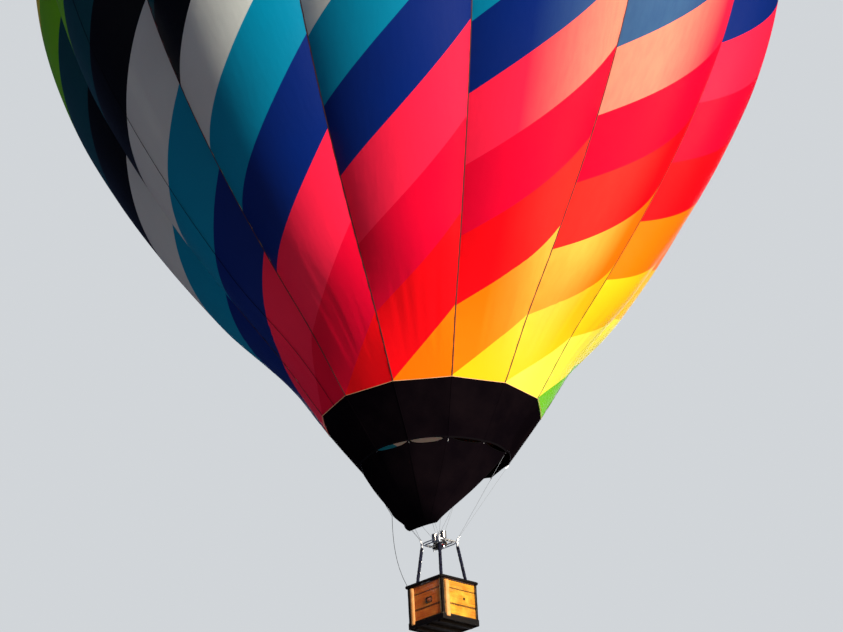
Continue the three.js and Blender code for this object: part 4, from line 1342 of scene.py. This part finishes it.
def hide_strip(side):
    """Pale half-round hide over padding, stitched on the wicker near the left end of a wall."""
    at, half, proud, low, high = -0.436, 0.066, 0.046, 0.105, 1.042
    columns, rows = 23, 96
    u = -np.cos(np.linspace(0, math.pi, columns))
    z = np.concatenate([[low], np.linspace(low, high, rows), [high]])
    near = np.clip(np.minimum(z - low, high - z) / 0.038, 0, 1)
    size = 0.5 + 0.5 * np.sqrt(1 - (1 - near) ** 2)
    size[[0, -1]] = 0.02
    size = size * (1 - 0.02 * np.exp(-((z - 0.46) / 0.014) ** 2) - 0.02 * np.exp(-((z - 0.86) / 0.014) ** 2))
    back = np.where(z < 0.1905, -0.6209, -0.608)[:, None]
    wave = 0.0012 * np.sin(31 * z)[:, None] * np.cos(2 * u)
    wave = wave + 0.0008 * np.sin(83 * z + 1)[:, None] * np.sin(3 * u)
    x = at + half * size[:, None] * u
    crown = -0.6095 - (proud * size[:, None] - wave) * np.sqrt(1 - u ** 2)
    front = np.stack([x, np.minimum(crown, back - 0.0006), z[:, None] + 0 * x], -1)
    behind = np.stack([x, back + 0 * x, z[:, None] + 0 * x], -1)
    shape = Shape()
    shape.grid(on_wall(np.concatenate([front, behind[:, ::-1]], 1), side), 0, loop=True)
    reach = 0.93
    fall = -0.6095 - (proud - 0.001) * math.sqrt(1 - reach ** 2)
    for edge in (-1, 1):
        seam = at + edge * half * reach
        for number in range(int((high - low - 0.16) / 0.02)):
            height = low + 0.08 + 0.02 * number
            stitch = [(seam, fall, height), (seam, fall - 0.0016, height + 0.006),
                      (seam, fall, height + 0.012)]
            shape.tube(on_wall(stitch, side), 0.0013, 5, kind=1)
    shape.make(f"hide_strip_cover_{side}", [PALE_HIDE, CORNER_LEATHER], replaces=[f"hide_strip_{side}"],
               slot="strip_hide")


for side in WALL_TURNS:
    hide_strip(side)


def eyelet():
    """Small leather-bound eyelet in the right wall."""
    shape = Shape()
    shape.turned([(0.0, 0.596), (0.017, 0.597), (0.02, 0.604), (0.026, 0.6075), (0.033, 0.6045),
                  (0.035, 0.597)], (0, 0.147, 0.645), 32, axis="x")
    shape.make("wall_eyelet", [DARK_LEATHER], slot="corner_leather")


eyelet()


def leather_skirt():
    path = square_path(half=0.6132, corner=0.02, z=0.0, step=0.02, corner_steps=6)
    way, out, along = run_of(path)
    heights = np.array([0.031, 0.034, 0.05, 0.08, 0.11, 0.14, 0.165, 0.184, 0.1885])
    bulge = np.interp(heights, [0.031, 0.034, 0.1, 0.184, 0.1885], [0.002, 0.0045, 0.0062, 0.0045, 0.002])
    wave = 0.0009 * np.sin(31 * along[:, None]) * np.sin(17 * heights)
    outer = path[:, None] + out[:, None] * (bulge + wave)[..., None] + heights[None, :, None] * UPWARD
    inner = path[:, None] - out[:, None] * 0.0062 + heights[None, ::-1, None] * UPWARD
    ring = np.concatenate([outer, inner], 1)
    shape = Shape()
    shape.grid(np.concatenate([ring, ring[:1]]), 0, loop=True)
    for index in range(len(path)):
        here = path[index] + out[index] * 0.0078 + 0.174 * UPWARD
        half = way[index] * 0.005
        shape.tube([here - half, here + out[index] * 0.001, here + half], 0.0012, 5, kind=1)
    shape.make("skirt_leather", [DARK_LEATHER, THREAD], replaces=["leather_skirt"], slot="corner_leather",
               weld=1e-5)


leather_skirt()


# Floor boards and runners

def floor_boards():
    shape = Shape()
    boards, half, gap = 8, 0.604, 0.0008
    for number in range(boards):
        x = -half + 2 * half * number / boards
        shape.block((x + gap, -half, 0.0705), (x + 2 * half / boards - gap, half, 0.0895), 0.0025)
    for x in (-0.4, 0.0, 0.4):
        shape.block((x - 0.045, -0.56, 0.0), (x + 0.045, 0.56, 0.0702), 0.006, 1)
        for y in (-0.46, -0.15, 0.15, 0.46):
            shape.turned([(0, 0.0895), (0.011, 0.0895), (0.009, 0.0925), (0, 0.0935)], (x, y, 0), 20, 2)
    shape.make("floor_boards", [PAINTED_SHADE_PLY, PAINTED_SHADE_ASH, STEEL], replaces=["floor"], slot="floor_wood", sharp=30)


floor_boards()


# Fuel cylinders

def fuel_cylinder(letter):
    sx, sy = CORNERS[letter]
    at = np.array([sx * 0.388, sy * 0.388, 0])
    facing = math.atan2(-sy, -sx)
    inward = np.array([math.cos(facing), math.sin(facing), 0])
    side = np.array([-math.sin(facing), math.cos(facing), 0])
    shape = Shape()
    shape.turned([(0.0, 0.1), (0.118, 0.1), (0.12, 0.0905), (0.124, 0.0905), (0.126, 0.118), (0.138, 0.14),
                  (0.1465, 0.17), (0.1472, 0.2), (0.1472, 0.44), (0.1478, 0.444), (0.1478, 0.452),
                  (0.1472, 0.456), (0.1472, 0.73), (0.146, 0.77), (0.138, 0.812), (0.12, 0.842),
                  (0.095, 0.858), (0.06, 0.866), (0.0, 0.868)], at, 56)
    turn = np.linspace(0.35, TAU - 0.35, 60) + facing
    for radius, flip in ((0.094, 1), (0.0905, -1)):
        levels = np.array([0.852, 0.875, 0.9, 0.925, 0.95])[:, None]
        shape.grid(round_axis(radius, turn[::flip], levels, *at[:2]), 0)
    shape.tube(round_axis(0.0922, turn, 0.954, *at[:2]), 0.0045, 8, up=(0, 0, 1))
    shape.turned([(0, 0.862), (0.028, 0.862), (0.03, 0.87), (0.03, 0.884), (0.017, 0.89), (0.017, 0.915),
                  (0, 0.915)], at, 32, 1)
    shape.tube([at + [0, 0, 0.898], at + [-sx * 0.05, 0, 0.898]], 0.012, 16, kind=1)
    wheel = np.arange(20) * TAU / 20
    shape.tube(round_axis(0.024, wheel, 0.928, *at[:2]), 0.006, 8, loop=True, kind=3, up=(0, 0, 1))
    for a in (0, math.pi / 2):
        shape.tube(round_axis([-0.022, 0.022], a, 0.928, *at[:2]), 0.004, 6, kind=3)
    shape.turned([(0, 0.866), (0.02, 0.866), (0.02, 0.878), (0, 0.88)], (at[0], at[1] - sy * 0.055, 0), 24, 1)
    for height in (0.3, 0.66):
        shape.turned([(0.1474, height - 0.025), (0.1486, height - 0.024), (0.1486, height + 0.024),
                      (0.1474, height + 0.025)], at, 56, 2)
        centre = at + 0.149 * inward + height * UPWARD
        buckle = [centre + side * dx + UPWARD * dz
                  for dx, dz in ((-0.02, -0.03), (0.02, -0.03), (0.02, 0.03), (-0.02, 0.03))]
        shape.tube(buckle, 0.0025, 6, loop=True, kind=4, up=inward)
    shape.make(f"cylinder_{letter}", [ALUMINIUM, BRASS, BLACK_TAPE, RED_KNOB, STEEL],
               replaces=[f"fuel_cylinder_{letter}"], slot="cylinder_metal")


for letter in CORNERS:
    fuel_cylinder(letter)


# The solids that show as they are

for node, finish in {"crown_tapes": BLACK_TAPE, "crown_ring": STEEL}.items():
    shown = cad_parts[node].data.materials
    shown.clear()
    shown.append(finish)


# Floor, backdrop light and studio lights

FLOOR_RADIUS, FLOOR_Z = 60, -21.25


def studio():
    floor = bpy.data.meshes.new("studio_floor")
    turn = np.arange(96) * TAU / 96
    edge = round_axis(FLOOR_RADIUS, turn, FLOOR_Z)
    floor.from_pydata(edge.tolist(), [], [tuple(range(len(edge)))])
    f = Finish("studio_floor")
    shade = f.noise(f.place(), 0.2, 3)
    floor.materials.append(f.done(f.surface(f.blend(shade, paint("c4ccd8"), paint("ced6e0")), 0.7)))
    piece = bpy.data.objects.new("studio_floor", floor)
    bpy.context.scene.collection.objects.link(piece)

    world = bpy.data.worlds.new("studio")
    bpy.context.scene.world = world
    world.use_nodes = True
    tree = world.node_tree
    tree.nodes.clear()
    out = tree.nodes.new("ShaderNodeOutputWorld")
    both = tree.nodes.new("ShaderNodeMixShader")
    seen = tree.nodes.new("ShaderNodeBackground")
    soft = tree.nodes.new("ShaderNodeBackground")
    ray = tree.nodes.new("ShaderNodeLightPath")
    seen.inputs["Color"].default_value = paint("d6dade")
    seen.inputs["Strength"].default_value = 0.95
    soft.inputs["Color"].default_value = paint("8098d8")
    soft.inputs["Strength"].default_value = 0.13
    tree.links.new(ray.outputs["Is Camera Ray"], both.inputs[0])
    tree.links.new(soft.outputs[0], both.inputs[1])
    tree.links.new(seen.outputs[0], both.inputs[2])
    tree.links.new(both.outputs[0], out.inputs["Surface"])

    def lamp(name, toward, strength, angle, colour):
        data = bpy.data.lights.new(name, "SUN")
        data.energy = strength
        data.angle = math.radians(angle)
        data.color = colour
        light = bpy.data.objects.new(name, data)
        light.rotation_mode = "QUATERNION"
        light.rotation_quaternion = Vector(toward).to_track_quat("Z", "Y")
        bpy.context.scene.collection.objects.link(light)

    lamp("key", (0.971, -0.119, 0.208), 7.5, 9, (1.0, 0.92, 0.8))
    lamp("shine", (0.72, 0.66, -0.22), 1.3, 26, (1.0, 0.84, 0.6))
    lamp("fill", (-0.1, -0.95, -0.1), 0.12, 40, (0.8, 0.88, 1.0))
    lamp("back", (-0.64, 0.76, 0.2), 0.6, 30, (0.92, 0.95, 1.0))
    bpy.context.scene.view_settings.view_transform = "Standard"


studio()
